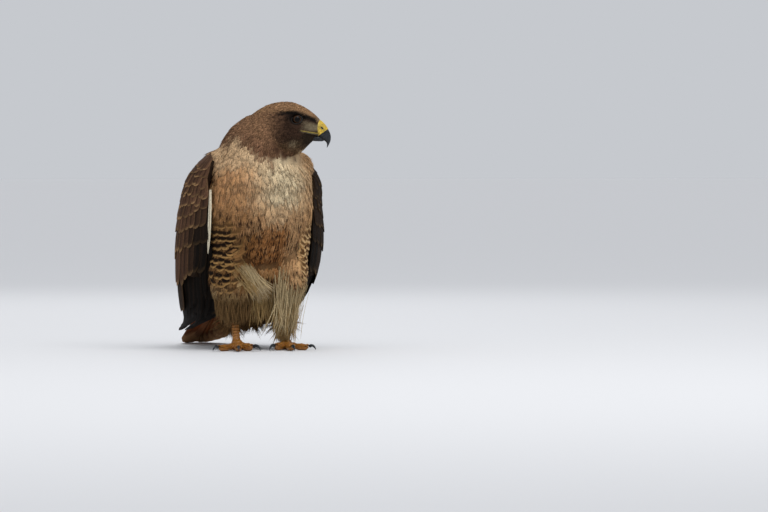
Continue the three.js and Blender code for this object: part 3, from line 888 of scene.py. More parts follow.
@dataclass
class Markings:
    """The bird's colours as a function of place, shared by the skin and every feather on it."""

    def body(self, p: Array) -> tuple[Array, Array, Array, Array]:
        """Colours of feathers rooted at points of the body.

        Args:
            p: points in the source's frame.

        Returns:
            The vane's colour, its shaft's streak and its edge, and the share of feathers there
            that carry a bold streak, a row for each point.
        """
        x, y, z = p.T
        front = smooth(0.5 * np.maximum(np.abs(x) - 38, 0) - y, -6, 22)
        spots = waves(p, 34, 11)
        fine = waves(p, 13, 12)
        centre = bell(x, 6 + 4 * spots, 38)
        right = smooth(-x, 8, 44)
        side = blend(TINT["buff"], TINT["rufous"], np.clip(0.1 + 0.5 * right + 0.35 * fine, 0, 1))
        pale = centre * (0.3 + 0.6 * smooth(z + 12 * spots, 196, 238))
        breast = blend(side, TINT["cream"], np.clip(1.1 * pale + 0.15 * fine, 0, 1))
        breast = blend(breast, TINT["cream"], 0.4 * smooth(z + 8 * spots, 258, 280) * right)
        left = smooth(x, 8, 40)
        belly = blend(TINT["belly"], TINT["buff"], np.clip(0.15 + 0.75 * left + 0.3 * fine, 0, 1))
        belly = blend(belly, TINT["thigh_dark"], np.clip(0.7 * right + 0.15 * fine, 0, 1))
        vent = blend(TINT["thigh"], TINT["buff"], np.clip(0.3 + 0.4 * fine, 0, 1))
        low = smooth(-z + 16 * spots + 10 * left, -232, -176)
        vane = blend(breast, belly, low)
        vane = blend(vane, vent, smooth(-z + 14 * spots, -120, -74))
        bold = 0.62 * smooth(-z + 12 * spots, -228, -186) * (1 - 0.35 * left)
        bold = bold * (1 - smooth(-z + 10 * spots, -114, -72)) * front
        streak = np.broadcast_to(TINT["streak"], vane.shape)
        edge = blend(vane * 1.12, TINT["cream"], 0.35 * smooth(z, 180, 240))
        back = blend(TINT["back"], TINT["crown_dark"], np.clip(0.5 + 0.5 * fine, 0, 1))
        flecks = bell(np.abs(x), 38, 13) * bell(z, 232, 30) * np.clip(0.5 + fine, 0, 1)
        back = blend(back, TINT["mottle"], 0.6 * flecks)
        vane = blend(back, vane, front)
        streak = blend(back * 0.5, streak, front)
        edge = blend(TINT["back_edge"], edge, front)
        nape = blend(TINT["nape"], TINT["nape_dark"], np.clip(0.4 + 0.5 * fine, 0, 1))
        rise = 12 * right + 14 * smooth(-x, 22, 46) + 22 * smooth(x, 26, 46)
        collar = smooth(z + 7 * spots - rise * front + 5 * fine, 262, 280)
        vane = blend(vane, nape, collar)
        streak = blend(streak, TINT["nape_dark"], collar)
        edge = blend(edge, blend(TINT["tawny"], nape, np.clip(0.5 - fine, 0, 1)), collar)
        bold = np.maximum(bold, 0.3 * collar)
        return self.head(to_head(p), vane, streak, edge, bold, smooth((p - NAPE_POINT) @ NAPE_NORMAL, -8, 16))

    def head(
        self, h: Array, vane: Array, streak: Array, edge: Array, bold: Array, share: Array
    ) -> tuple[Array, Array, Array, Array]:
        """Lays the head's own pattern over the body's colours.

        Args:
            h: places in the head's frame.
            vane: the body's vane colours.
            streak: its streak colours.
            edge: its edge colours.
            bold: its shares of bold streaks.
            share: how far each point belongs to the head.

        Returns:
            The four with the head's pattern laid over them.
        """
        x, y, z = h.T
        fine = waves(h, 9, 13)
        line = np.interp(x, [-30, 0, 14, 26], [10.5, 8.6, 3.6, -1.4])
        worn = np.maximum(smooth(-x, -20, 40), 0.8 * smooth(x, 2, 24))
        crown = blend(TINT["crown"], TINT["nape"], np.clip(0.4 + 0.4 * fine, 0, 1) * worn)
        side = smooth(line - z + 1.5 * fine, -2.5, 2.5)
        behind = smooth(-x + 5 * fine, 14, 50)
        low = smooth(-z + 3 * fine, 22, 40)
        cheek = blend(TINT["cheek"], TINT["nape"], np.clip(behind, 0, 1))
        cheek = blend(cheek, TINT["throat"], low * (1 - behind))
        patch = bell(x, -3, 5) * bell(z, -33, 4) * (np.abs(y) > 8)
        cheek = blend(cheek, TINT["lore"], 0.7 * patch)
        colour = blend(crown, cheek, side * (1 - 0.4 * behind))
        colour = blend(colour, TINT["chin"], smooth(x, 4, 12) * smooth(-z, 16, 21))
        # Partly painted shade: the dark band along the brow and the dark ring round the eye are the head's
        # dark feathering with the shade of the overhanging brow and the socket painted in
        brow_band_and_shade = np.exp(-(((z - line) / 4.0) ** 4)) * smooth(x, -32, -14) * smooth(-x, -31, -26)
        ring = 1 - smooth(np.hypot(x / 1.25, (z - 1.5)), 7.5, 11)
        dark = np.clip(np.maximum(brow_band_and_shade, 0.9 * ring), 0, 1)
        lore = smooth(x, 3, 23) * smooth(z, -20, -13) * (1 - smooth(z - line, -9.5, -3.6))
        colour = blend(colour, TINT["brow"], dark * (1 - 0.6 * lore))
        colour = blend(colour, blend(TINT["lore"], TINT["throat"], np.clip(0.3 + 0.5 * fine, 0, 1)), lore)
        spot = bell(x, 31.5, 3.2) * smooth(z, -6, 0)
        colour = blend(colour, TINT["lore"], 0.75 * spot)
        plain = np.clip(dark + lore + side * (1 - behind), 0, 1)
        tips = blend(blend(crown, TINT["tawny"], np.full(len(x), 0.6)), colour * 1.2, plain)
        marks = 0.45 * (1 - plain)
        lines = blend(colour * 0.45, colour * 0.8, plain)
        return (
            blend(vane, colour, share),
            blend(streak, lines, share),
            blend(edge, tips, share),
            bold * (1 - share) + marks * share,
        )


@dataclass
class Tuft:
    """A small feather as a few tapered closed lobes that fan out from one root."""

    # Each lobe's turn to the side, its reach and its width, and the places along a lobe with their widths
    fan: Sequence[Triple]
    stations: Sequence[Pair]
    thick: float = 0.12

    def template(self) -> tuple[Array, Array, Array]:
        """The feather's own points, its triangles and its map.

        Returns:
            Points of (along, across, above) for a length and a half width of 1, the triangles,
            and for each point the place across and along the whole feather.
        """
        points, faces, marks = [], [], []
        for turn, reach, wide in self.fan:
            first = len(points)
            for t, share in self.stations:
                centre = turn * (0.25 * t + 0.75 * t * t)
                if share == 0:
                    points.append((t * reach, centre, 0))
                    marks.append((turn, t))
                    continue
                spread = wide * share
                points += [
                    (t * reach, centre - spread, 0),
                    (t * reach, centre, self.thick * share),
                    (t * reach, centre + spread, 0),
                ]
                marks += [(turn - wide / 2, t), (turn, t), (turn + wide / 2, t)]
            rings = len(self.stations) - 1
            for j in range(rings):
                a = first + 3 * j
                if j == rings - 1:
                    tip = a + 3
                    faces += [(a, a + 1, tip), (a + 1, a + 2, tip), (a + 2, a, tip)]
                    continue
                for k in range(3):
                    b = (k + 1) % 3
                    faces += [(a + k, a + b, a + b + 3), (a + k, a + b + 3, a + k + 3)]
            faces.append((first, first + 2, first + 1))
        return np.array(points, float), np.array(faces)[:, ::-1], np.array(marks, float)

    def lay(
        self,
        mesh: Mesh,
        roots: Array,
        along: Array,
        above: Array,
        size: tuple[Array, Array],
        bend: Array,
        colours: tuple[Array, Array, Array],
        style: "Pattern",
    ) -> None:
        """Lays one feather at each root.

        Args:
            mesh: the mesh to fill.
            roots: root points.
            along: the directions in which they lie.
            above: the directions away from the skin.
            size: their lengths and half widths.
            bend: how far each tip curves, sideways and down.
            colours: the colours of the vane, its streak and its edge.
            style: how the colours are laid out on the feather.
        """
        shape, faces, marks = self.template()
        length, half = (v[:, None, None] for v in size)
        side = np.cross(above, along)
        x, y, z = (shape[None, :, k, None] for k in range(3))
        swerve = bend[:, None, None, 0] * x * x * length
        drop = bend[:, None, None, 1] * x * x * length
        points = (
            roots[:, None]
            + along[:, None] * (x * length)
            + side[:, None] * (y * half + swerve)
            + above[:, None] * (z * half - drop)
        )
        count = len(roots)
        tone = style.shade(marks, *colours)
        numbers = faces[None] + (np.arange(count) * len(shape))[:, None, None]
        vane = np.broadcast_to(marks[None], (count, *marks.shape))
        bake = bake_map(roots)[:, None] + feather_patch(marks[None])
        mesh.add(points, numbers, tone, vane, bake)


class Pattern(Enum):
    """How a feather's colours are laid out on it."""

    STREAKED = "streaked"
    SCALLOPED = "scalloped"
    PLAIN = "plain"

    def shade(self, marks: Array, vane: Array, streak: Array, edge: Array) -> Array:
        """Colours at a feather's points.

        Args:
            marks: each point's place across and along it.
            vane: the vanes' colours.
            streak: the colours of their shafts' streaks.
            edge: the colours of their edges.

        Returns:
            A colour for each feather and point.
        """
        across, along = np.abs(marks[:, 0]), marks[:, 1]
        rim = np.maximum(smooth(across, 0.6, 1.0), smooth(along, 0.84, 1.0))
        if self is Pattern.STREAKED:
            dark = bell(across, 0, 0.42) * smooth(along, 0.3, 0.55) * (1 - 0.5 * smooth(along, 0.93, 1))
            pale = 0.5 * rim * (1 - dark)
        elif self is Pattern.SCALLOPED:
            dark, pale = 0.45 * bell(across, 0, 0.4) * smooth(along, 0.2, 0.6), 0.7 * rim
        else:
            dark, pale = 0.35 * bell(across, 0, 0.4) * smooth(along, 0.2, 0.6), 0.35 * rim
        # Partly painted shade: each feather is darker towards its root, both the darker base that feathers
        # have and the shade under the feathers that overlap it
        root = 0.82 + 0.18 * smooth(along, 0.0, 0.5)
        base = blend(vane[:, None], streak[:, None], np.broadcast_to(dark, (len(vane), len(dark))))
        tone = blend(base, edge[:, None], np.broadcast_to(pale, (len(vane), len(pale))))
        return tone * root[None, :, None]


SOFT = Tuft([(0, 1, 0.42), (-0.62, 0.86, 0.4), (0.62, 0.88, 0.4)], [(0, 0.7), (0.45, 1), (0.8, 0.62), (1, 0)])
SMALL = Tuft([(0, 1, 0.6), (0.55, 0.84, 0.45), (-0.55, 0.8, 0.45)], [(0, 0.7), (0.55, 1), (1, 0)], 0.16)
STRAND = Tuft(
    [(0, 1, 0.5), (-0.55, 0.9, 0.32), (0.6, 0.93, 0.32)],
    [(0, 0.6), (0.25, 0.9), (0.5, 1), (0.75, 0.72), (0.9, 0.42), (1, 0)],
)
WISP = Tuft([(0, 1, 0.3), (-0.7, 0.85, 0.26), (0.75, 0.9, 0.26)], [(0, 0.8), (0.35, 1), (0.75, 0.55), (1, 0)])


@dataclass
class Patch:
    """One region of the body's small feathers, with their kind."""

    name: str
    tuft: Tuft
    pattern: Pattern
    slot: str
    where: Array


@dataclass
class Growth:
    """The sizes of the feathers rooted at each point, in mm, and how far they lift off the skin."""

    spacing: Array
    length: Array
    half_width: Array
    lift: Array

    def picked(self, chosen: Array) -> "Growth":
        """The sizes of some of the points."""
        return Growth(self.spacing[chosen], self.length[chosen], self.half_width[chosen], self.lift[chosen])


@dataclass
class Body:
    """The skin of head, neck, trunk and thighs in one piece, and the small feathers on it."""

    coat_depth: float = 3.0
    face_depth: float = 1.3
    voxel: float = 2.2
    socket: float = 18.5
    seed: int = 5
    samples: int = 500000
    markings: Markings = field(default_factory=Markings)
    nodes: tuple[str, ...] = ("head", "neck", "torso", "rump", "thigh_left", "thigh_right")

    def skin(self) -> Piece:
        """Makes the trunk and thighs as one soft form, then joins the head to it and evens both.

        Returns:
            The skin.
        """
        trunk = Mesh()
        trunk.add_form(*lofted(lambda t, a: trunk_point(TRUNK, t, a, -self.coat_depth, 0.92), 48, 60), BLACK)
        trunk.add_form(*lofted(lambda t, a: trunk_point(BELLY, t, a, -self.coat_depth, 1.0), 32, 32), BLACK)
        for side in (1, -1):
            points, faces = lofted(lambda t, a: trunk_point(THIGH, t, a, -1.5, 1.0), 32, 32)
            outer = np.maximum(points[:, 0] - 40, 0)
            points[:, 0] -= (0.32 if side > 0 else 0.05) * outer
            trunk.add_form(points * [side, 1, 1], faces if side > 0 else faces[:, ::-1], BLACK)
            shoulder = (56, 2, 258) if side > 0 else (-59, 4, 261)
            trunk.add_form(*self.bulge(shoulder, (20, 35, 25)), BLACK)
            trunk.add_form(*self.bulge((46 * side, -2, 162), (23, 31, 46)), BLACK)
        body = trunk.build("hawk_body")
        rounded(body, 3.0, 30)
        head = Mesh()
        head.add_form(*lofted(lambda t, a: head_point(SKULL, t, a, -self.face_depth, 0.88), 48, 48), BLACK)
        for side in (1, -1):
            head.add_form(*self.brow(side), BLACK)
        piece = head.build("hawk_skin")
        deselect()
        body.select_set(True)
        piece.select_set(True)
        bpy.context.view_layer.objects.active = piece
        bpy.ops.object.join()
        rounded(piece, self.voxel, 5)
        self.carve_sockets(piece)
        return piece

    def bulge(self, centre: Triple, radii: Triple) -> Form:
        """A rounded form: a shoulder that carries the neck's feathers, or a hip between trunk and thigh.

        Args:
            centre: its middle.
            radii: its half sizes.

        Returns:
            Its points and triangles.
        """

        def at(t: Array, angle: Array) -> Array:
            """A point of the rounded form.

            Args:
                t: shares from bottom to top.
                angle: angles round it.

            Returns:
                The points.
            """
            wide = np.sin(math.pi * t)
            way = np.stack([wide * np.cos(angle), wide * np.sin(angle), -np.cos(math.pi * t)], -1)
            return np.array(centre, float) + np.array(radii, float) * way

        return lofted(at, 24, 18)

    def brow(self, side: int) -> Form:
        """The overhanging ridge above one eye, as a closed form.

        Args:
            side: 1 for the left and -1 for the right.

        Returns:
            Its points and triangles.
        """

        def at(t: Array, angle: Array) -> Array:
            """A point of the ridge.

            Args:
                t: shares from back to front.
                angle: angles round it.

            Returns:
                The points.
            """
            x = -13 + 29 * t
            wide = np.sin(math.pi * t) ** 0.6
            y = side * (21.4 - 0.27 * (x + 2) * (x > -2))
            return in_head(x, y + 3.8 * wide * np.cos(angle), 8.9 - 0.2 * x + 2.9 * wide * np.sin(angle))

        return lofted(at, 14, 16)

    def carve_sockets(self, piece: Piece) -> None:
        """Presses the skin in round each eyeball, so that the eye sits in a shallow socket.

        Args:
            piece: the skin.
        """
        h = to_head(read_points(piece.data))
        for side in (1, -1):
            near = np.hypot(h[:, 0] / 1.15, h[:, 2] + 0.3)
            hollow = (1 - smooth(near, 4.5, 10.5)) * (h[:, 1] * side > 8)
            sunk = h[:, 1] + (side * self.socket - h[:, 1]) * hollow * (np.abs(h[:, 1]) > self.socket)
            h[:, 1] = np.where(hollow > 0, sunk, h[:, 1])
        write_points(piece.data, in_head(*h.T))

    def paint_skin(self, piece: Piece) -> None:
        """Gives the skin the same markings as the feathers, darker as painted shade between them, and its
        maps.

        Args:
            piece: the skin.
        """
        mesh = piece.data
        points = read_points(mesh)
        vane, streak, _, bold = self.markings.body(points)
        # Painted shade: the skin seen between the feathers is 0.7 of their colour
        colour = blend(vane, streak, bold) * 0.7
        for name in [layer.name for layer in mesh.uv_layers]:
            mesh.uv_layers.remove(mesh.uv_layers[name])
        if "Coat" in mesh.color_attributes:
            mesh.color_attributes.remove(mesh.color_attributes["Coat"])
        lay_maps(mesh, colour, bake_map(points), bake_map(points))

    def sample(self, piece: Piece, rng: Random) -> tuple[Array, Array]:
        """Random points spread over the skin with their normals, in the source's frame.

        Args:
            piece: the skin.
            rng: the source of their places.

        Returns:
            The points and their normals.
        """
        mesh = piece.data
        mesh.calc_loop_triangles()
        corners = np.empty(len(mesh.loop_triangles) * 3, dtype=np.int32)
        mesh.loop_triangles.foreach_get("vertices", corners)
        points = read_points(mesh)
        flat = np.empty(points.size)
        mesh.vertices.foreach_get("normal", flat)
        normals = flat.reshape(-1, 3)
        a, b, c = (corners.reshape(-1, 3)[:, k] for k in range(3))
        area = np.linalg.norm(np.cross(points[b] - points[a], points[c] - points[a]), axis=1)
        chosen = rng.choice(len(area), self.samples, p=area / area.sum())
        r1, r2 = np.sqrt(rng.random(len(chosen)))[:, None], rng.random(len(chosen))[:, None]
        w = (1 - r1, r1 * (1 - r2), r1 * r2)
        a, b, c = a[chosen], b[chosen], c[chosen]
        return (
            points[a] * w[0] + points[b] * w[1] + points[c] * w[2],
            unit(normals[a] * w[0] + normals[b] * w[1] + normals[c] * w[2]),
        )

    def lie(self, p: Array, n: Array) -> Array:
        """The direction in which feathers rooted at points lie, along the skin.

        Args:
            p: root points in the source's frame.
            n: the skin's normals there.

        Returns:
            Unit directions in the tangent plane.
        """
        t = np.linspace(0, 1, 80)
        axis = spline(np.asarray(TRUNK, float)[:, :3], t)
        nearest = np.argmin(np.linalg.norm(p[:, None] - axis[None], axis=2), axis=1)
        tangents = unit(np.gradient(axis, axis=0))
        body = -tangents[nearest]
        down = np.array([0.0, 0.12, -1.0])
        hang = smooth(-p[:, 1], -20, 30)
        body = unit(blend(body, np.broadcast_to(down, body.shape), np.clip(hang, 0, 0.85)))
        spread = np.sign(p[:, 0]) * smooth(-p[:, 2], -130, -60) * (p[:, 1] < 40)
        body = unit(body + np.stack([0.12 * spread, 0 * spread, 0 * spread], -1))
        h = to_head(p)
        back = in_head(-1.0, 0.0, 0.0) - HEAD_AT
        swept = back + np.stack([0 * h[:, 0], 0 * h[:, 0], -0.3 - 0.9 * smooth(-h[:, 2], 0, 30)], -1)
        share = smooth((p - NAPE_POINT) @ NAPE_NORMAL, -26, 14)
        way = unit(blend(body, unit(swept), share))
        return unit(way - n * np.sum(way * n, 1, keepdims=True))

    def growth(self, p: Array, h: Array) -> Growth:
        """How the feathers grow at points: smallest on the face, longest on the back.

        Args:
            p: points of the skin in the source's frame.
            h: the same points in the head's frame.

        Returns:
            Their sizes.
        """
        on_head = smooth((p - NAPE_POINT) @ NAPE_NORMAL, -34, 16)
        eye = np.hypot(h[:, 0], h[:, 2])
        face = np.maximum(smooth(h[:, 0], 0, 27), 1 - smooth(eye, 8, 20)) * on_head
        spacing = 3.5 + 0.8 * smooth(p[:, 1], 0, 40)
        spacing += (2.5 - spacing) * smooth(p[:, 2], 238, 292)
        spacing += (1.8 - spacing) * on_head
        spacing += (1.05 - spacing) * face
        legs = smooth(-p[:, 2], -112, -84) * (p[:, 1] < 44)
        spacing += (3.2 - spacing) * legs
        steps = [1.05, 1.8, 2.5, 3.5, 4.3]
        length = np.interp(spacing, steps, [3.0, 8.0, 15, 24, 28])
        half = np.interp(spacing, steps, [0.42, 1.1, 2.5, 3.9, 5.4])
        lift = np.interp(spacing, steps, [8, 10, 11, 10, 8.0])
        length += legs * (4 + 12 * smooth(-p[:, 2], -96, -50))
        half += legs * (2.4 - half)
        return Growth(spacing, length, half, lift)

    def patches(self, p: Array) -> list[Patch]:
        """The body's regions, with ragged borders.

        Args:
            p: the roots of all its feathers.

        Returns:
            The regions, each with a mask of its roots.
        """
        ragged = 5 * waves(p, 17, 17)
        head = (p - NAPE_POINT) @ NAPE_NORMAL + ragged > 0
        legs = (p[:, 2] + ragged < 100) & (p[:, 1] < 44)
        neck = ~head & (p[:, 2] + ragged > 268)
        trunk = ~head & ~legs & ~neck
        back = trunk & (p[:, 1] + 2 * ragged > 14)
        front = trunk & ~back
        high = p[:, 2] + ragged > 196
        left = p[:, 0] > 0
        far = to_head(p)[:, 1] > 0
        return [
            Patch("head_left", SMALL, Pattern.STREAKED, "head_feathers", head & far),
            Patch("head_right", SMALL, Pattern.STREAKED, "head_feathers", head & ~far),
            Patch("neck_left", SOFT, Pattern.STREAKED, "neck_feathers", neck & far),
            Patch("neck_right", SOFT, Pattern.STREAKED, "neck_feathers", neck & ~far),
            Patch("breast", SOFT, Pattern.STREAKED, "breast_feathers", front & high),
            Patch("belly", SOFT, Pattern.STREAKED, "breast_feathers", front & ~high),
            Patch("back_left", SOFT, Pattern.SCALLOPED, "rump_feathers", back & left),
            Patch("back_right", SOFT, Pattern.SCALLOPED, "rump_feathers", back & ~left),
            Patch("thigh_left", WISP, Pattern.PLAIN, "leg_feathers", legs & left),
            Patch("thigh_right", WISP, Pattern.PLAIN, "leg_feathers", legs & ~left),
        ]

    def bare(self, h: Array) -> Array:
        """Whether places of the head's frame bear no feathers: the eyes, the bill and the mouth.

        Args:
            h: places in the head's frame.

        Returns:
            True where none grow.
        """
        eye = np.hypot(h[:, 0] / 1.15, h[:, 2] + 0.3) < 6.6
        bill = (h[:, 0] > 29.5) & (h[:, 2] < -3.5)
        mouth = (h[:, 0] > 2) & (np.abs(h[:, 2] + 17.6 + 0.13 * (h[:, 0] - 4)) < 1.7)
        return (eye | mouth) & (np.abs(h[:, 1]) > 7) | bill

    def coat(self, piece: Piece) -> list[tuple[Piece, str]]:
        """Covers the skin with its small feathers, one piece for each region.

        Args:
            piece: the skin.

        Returns:
            The feather pieces, each with its material slot.
        """
        rng = np.random.default_rng(self.seed)
        p, n = self.sample(piece, rng)
        keep = ~self.bare(to_head(p))
        p, n = p[keep], n[keep]
        spacing = self.growth(p, to_head(p)).spacing
        level = np.round(np.log(spacing) / math.log(1.1)).astype(int)
        cells = np.floor(p / (1.1**level)[:, None]).astype(int)
        _, first = np.unique(np.column_stack([level, cells]), axis=0, return_index=True)
        first = np.sort(first)
        p, n = p[first], n[first]
        growth = self.growth(p, to_head(p))
        made = []
        for patch in self.patches(p):
            mesh = Mesh()
            self.grow(mesh, patch, p[patch.where], n[patch.where], growth.picked(patch.where), rng)
            made.append((mesh.build("feathers_" + patch.name), patch.slot))
        return made

    def grow(self, mesh: Mesh, patch: Patch, p: Array, n: Array, growth: Growth, rng: Random) -> None:
        """Grows one patch's feathers.

        Args:
            mesh: the mesh to fill.
            patch: the patch.
            p: the feathers' roots.
            n: the skin's normals there.
            growth: their sizes.
            rng: the source of their small differences.
        """
        count = len(p)
        way = self.lie(p, n)
        side = np.cross(n, way)
        way = unit(way + side * rng.normal(0, 0.14, count)[:, None])
        lift = np.radians(growth.lift * rng.uniform(0.5, 1.4, count))[:, None]
        along = way * np.cos(lift) + n * np.sin(lift)
        above = n * np.cos(lift) - way * np.sin(lift)
        size = rng.uniform(0.8, 1.2, count)
        bend = np.stack([rng.normal(0, 0.06, count), rng.uniform(0.08, 0.2, count)], -1)
        vane, streak, edge, bold = self.markings.body(p)
        if patch.slot == "leg_feathers":
            # Painted shade: the thighs' inner sides, between the legs, are blended towards thigh_dark; the
            # right thigh is darker too, most below about 76 mm
            inner = smooth(30 - np.abs(p[:, 0]), -6, 16)
            right = np.where(p[:, 0] < 0, 0.35 + 0.65 * smooth(-p[:, 2], -100, -76), 0.0)
            share = np.clip(np.maximum(inner, right) + rng.normal(0, 0.16, count), 0, 1)
            vane = blend(vane, TINT["thigh_dark"], share)
        tone = (1 + rng.normal(0, 0.09, count))[:, None]
        strong = rng.random(count) < bold
        streak = np.where(strong[:, None], streak, vane * 0.86)
        colours = (vane * tone, streak * tone, edge * tone)
        lengths = (growth.length * size, growth.half_width * size)
        roots = p - n * 0.25 * growth.spacing[:, None]
        patch.tuft.lay(mesh, roots, along, above, lengths, bend, colours, patch.pattern)

    def make(self) -> tuple[Piece, Material]:
        """Builds and dresses the skin and its feathers.

        Returns:
            The skin and its material.
        """
        # Loose barbs scatter the light, so the coat looks matt and soft
        material = Plumage("Contour feathers, grown keratin barbs").material()
        piece = self.skin()
        self.paint_skin(piece)
        finish_piece(piece, material, "breast_feathers", *self.nodes)
        for feathers, slot in self.coat(piece):
            finish_piece(feathers, material, slot)
        return piece, material


@dataclass(frozen=True)
class Lock:
    """Loose long feathers that hang from one place of the legs or belly towards another."""

    count: int
    root: Triple
    tip: Triple
    spread: Triple
    gather: float
    half_width: float
    tint: str
    edge: str


@dataclass
class Locks:
    """The long loose feathers of the belly and the thighs."""

    tints: dict[str, Array] = field(
        default_factory=lambda: pick_colours(
            cream="#c9b287", white="#e9dfc6", buff="#a88a5a", brown="#6e5434"
        )
    )
    locks: tuple[Lock, ...] = (
        Lock(150, (-40, -38, 118), (-10, -38, 76), (15, 3, 9), 0.8, 0.95, "buff", "white"),
        Lock(50, (-36, -41, 120), (-6, -41, 80), (10, 1, 4), 0.6, 0.8, "cream", "white"),
        Lock(190, (34, -35, 100), (31, -16, 22), (21, 4, 18), 0.5, 1.0, "cream", "white"),
        Lock(170, (34, -22, 66), (32, -12, 12), (18, 9, 14), 0.6, 1.0, "buff", "cream"),
        Lock(90, (46, -8, 84), (38, -2, 26), (5, 12, 16), 0.6, 1.0, "buff", "cream"),
        Lock(190, (2, -22, 90), (4, -6, 44), (20, 6, 16), 0.8, 1.1, "buff", "cream"),
        Lock(140, (-38, -20, 80), (-36, -8, 42), (20, 8, 12), 0.7, 1.0, "brown", "buff"),
        Lock(90, (-62, -10, 94), (-56, -2, 46), (8, 14, 16), 0.7, 1.1, "brown", "buff"),
    )

    def make(self, material: Material) -> None:
        """Builds and dresses the locks.

        Args:
            material: the plumage.
        """
        rng = np.random.default_rng(47)
        mesh = Mesh()
        for lock in self.locks:
            away = rng.normal(0, 0.55, (lock.count, 3)).clip(-1.2, 1.2)
            roots = np.array(lock.root, float) + away * lock.spread
            tips = np.array(lock.tip, float) + away * lock.spread * lock.gather
            tips = tips + rng.normal(0, 2.4, tips.shape).clip(-4, 4)
            tips[:, 2] = np.maximum(tips[:, 2], 7)
            length = np.linalg.norm(tips - roots, axis=1)
            along = unit(tips - roots)
            outward = roots * [1, 1, 0] - np.array([0.7 * lock.root[0], 6, 0])
            above = unit(outward - along * np.sum(outward * along, 1, keepdims=True))
            tone = (1 + rng.normal(0, 0.12, lock.count))[:, None]
            vane = blend(self.tints[lock.tint] * tone, self.tints["brown"], 0.35 * rng.random(lock.count))
            edge = np.broadcast_to(self.tints[lock.edge], vane.shape)
            bend = np.stack([rng.normal(0, 0.13, lock.count), rng.uniform(-0.06, 0.12, lock.count)], -1)
            width = lock.half_width * rng.uniform(0.7, 1.4, lock.count)
            size = (length, width)
            STRAND.lay(mesh, roots, along, above, size, bend, (vane, vane * 0.75, edge), Pattern.PLAIN)
        finish_piece(mesh.build("feathers_locks"), material, "leg_feathers")


# Outlines of stiff feathers: the share along and the share of the half width
ROUND_VANE = [(0, 0.5), (0.3, 0.8), (0.6, 1), (0.8, 1), (0.88, 0.93)]
ROUND_VANE += [(0.93, 0.82), (0.965, 0.64), (0.99, 0.38), (1, 0.14)]
LONG_VANE = [(0, 0.6), (0.3, 0.95), (0.55, 1), (0.75, 0.88)]
LONG_VANE += [(0.88, 0.66), (0.95, 0.42), (0.99, 0.2), (1, 0.06)]
BLUNT_VANE = [(0, 0.5), (0.35, 0.85), (0.6, 1), (0.75, 1), (0.8, 0.98)]
BLUNT_VANE += [(0.86, 0.93), (0.9, 0.84), (0.94, 0.66), (0.98, 0.38), (1, 0.12)]
ACROSS = (-1.0, -0.78, -0.35, 0.0, 0.35, 0.78, 1.0)


@dataclass
class VaneLook:
    """The colours of a stiff feather: its vane, edge and shaft, and its bars if any."""

    vane: Array
    edge: Array
    shaft: Array
    edge_share: float = 0.7
    bars: float = 0.0
    band: Array | None = None
    crescent: Array | None = None

    def shade(self, across: Array, along: Array, tone: float) -> Array:
        """Colours at places on the feather.

        Args:
            across: places across it, -1 to 1.
            along: places along it, 0 to 1.
            tone: its brightness.

        Returns:
            A colour for each place.
        """
        out = np.abs(across)
        colour = np.broadcast_to(self.vane, (*across.shape, 3))
        if self.bars:
            stripes = smooth(np.sin(along * 2 * math.pi * 7 + 0.4), 0.2, 0.7)
            colour = blend(colour, self.vane * 0.45, self.bars * stripes)
        if self.band is not None:
            dark = np.exp(-(((along - 0.9) / 0.025) ** 2))
            colour = blend(colour, self.band, dark)
        if self.crescent is not None:
            place = along + 0.07 * out**2
            dark = smooth(place, 0.75, 0.79) * (1 - smooth(place, 0.9, 0.96))
            colour = blend(colour, self.crescent, dark)
        rim = np.maximum(0.55 * smooth(out, 0.76, 1.0), smooth(along + 0.05 * out**2, 0.9, 0.97))
        colour = blend(colour, self.edge, self.edge_share * rim)
        quill = np.exp(-((out / 0.12) ** 2)) * (1 - smooth(along, 0.8, 1))
        return blend(colour, self.shaft, 0.8 * quill) * tone


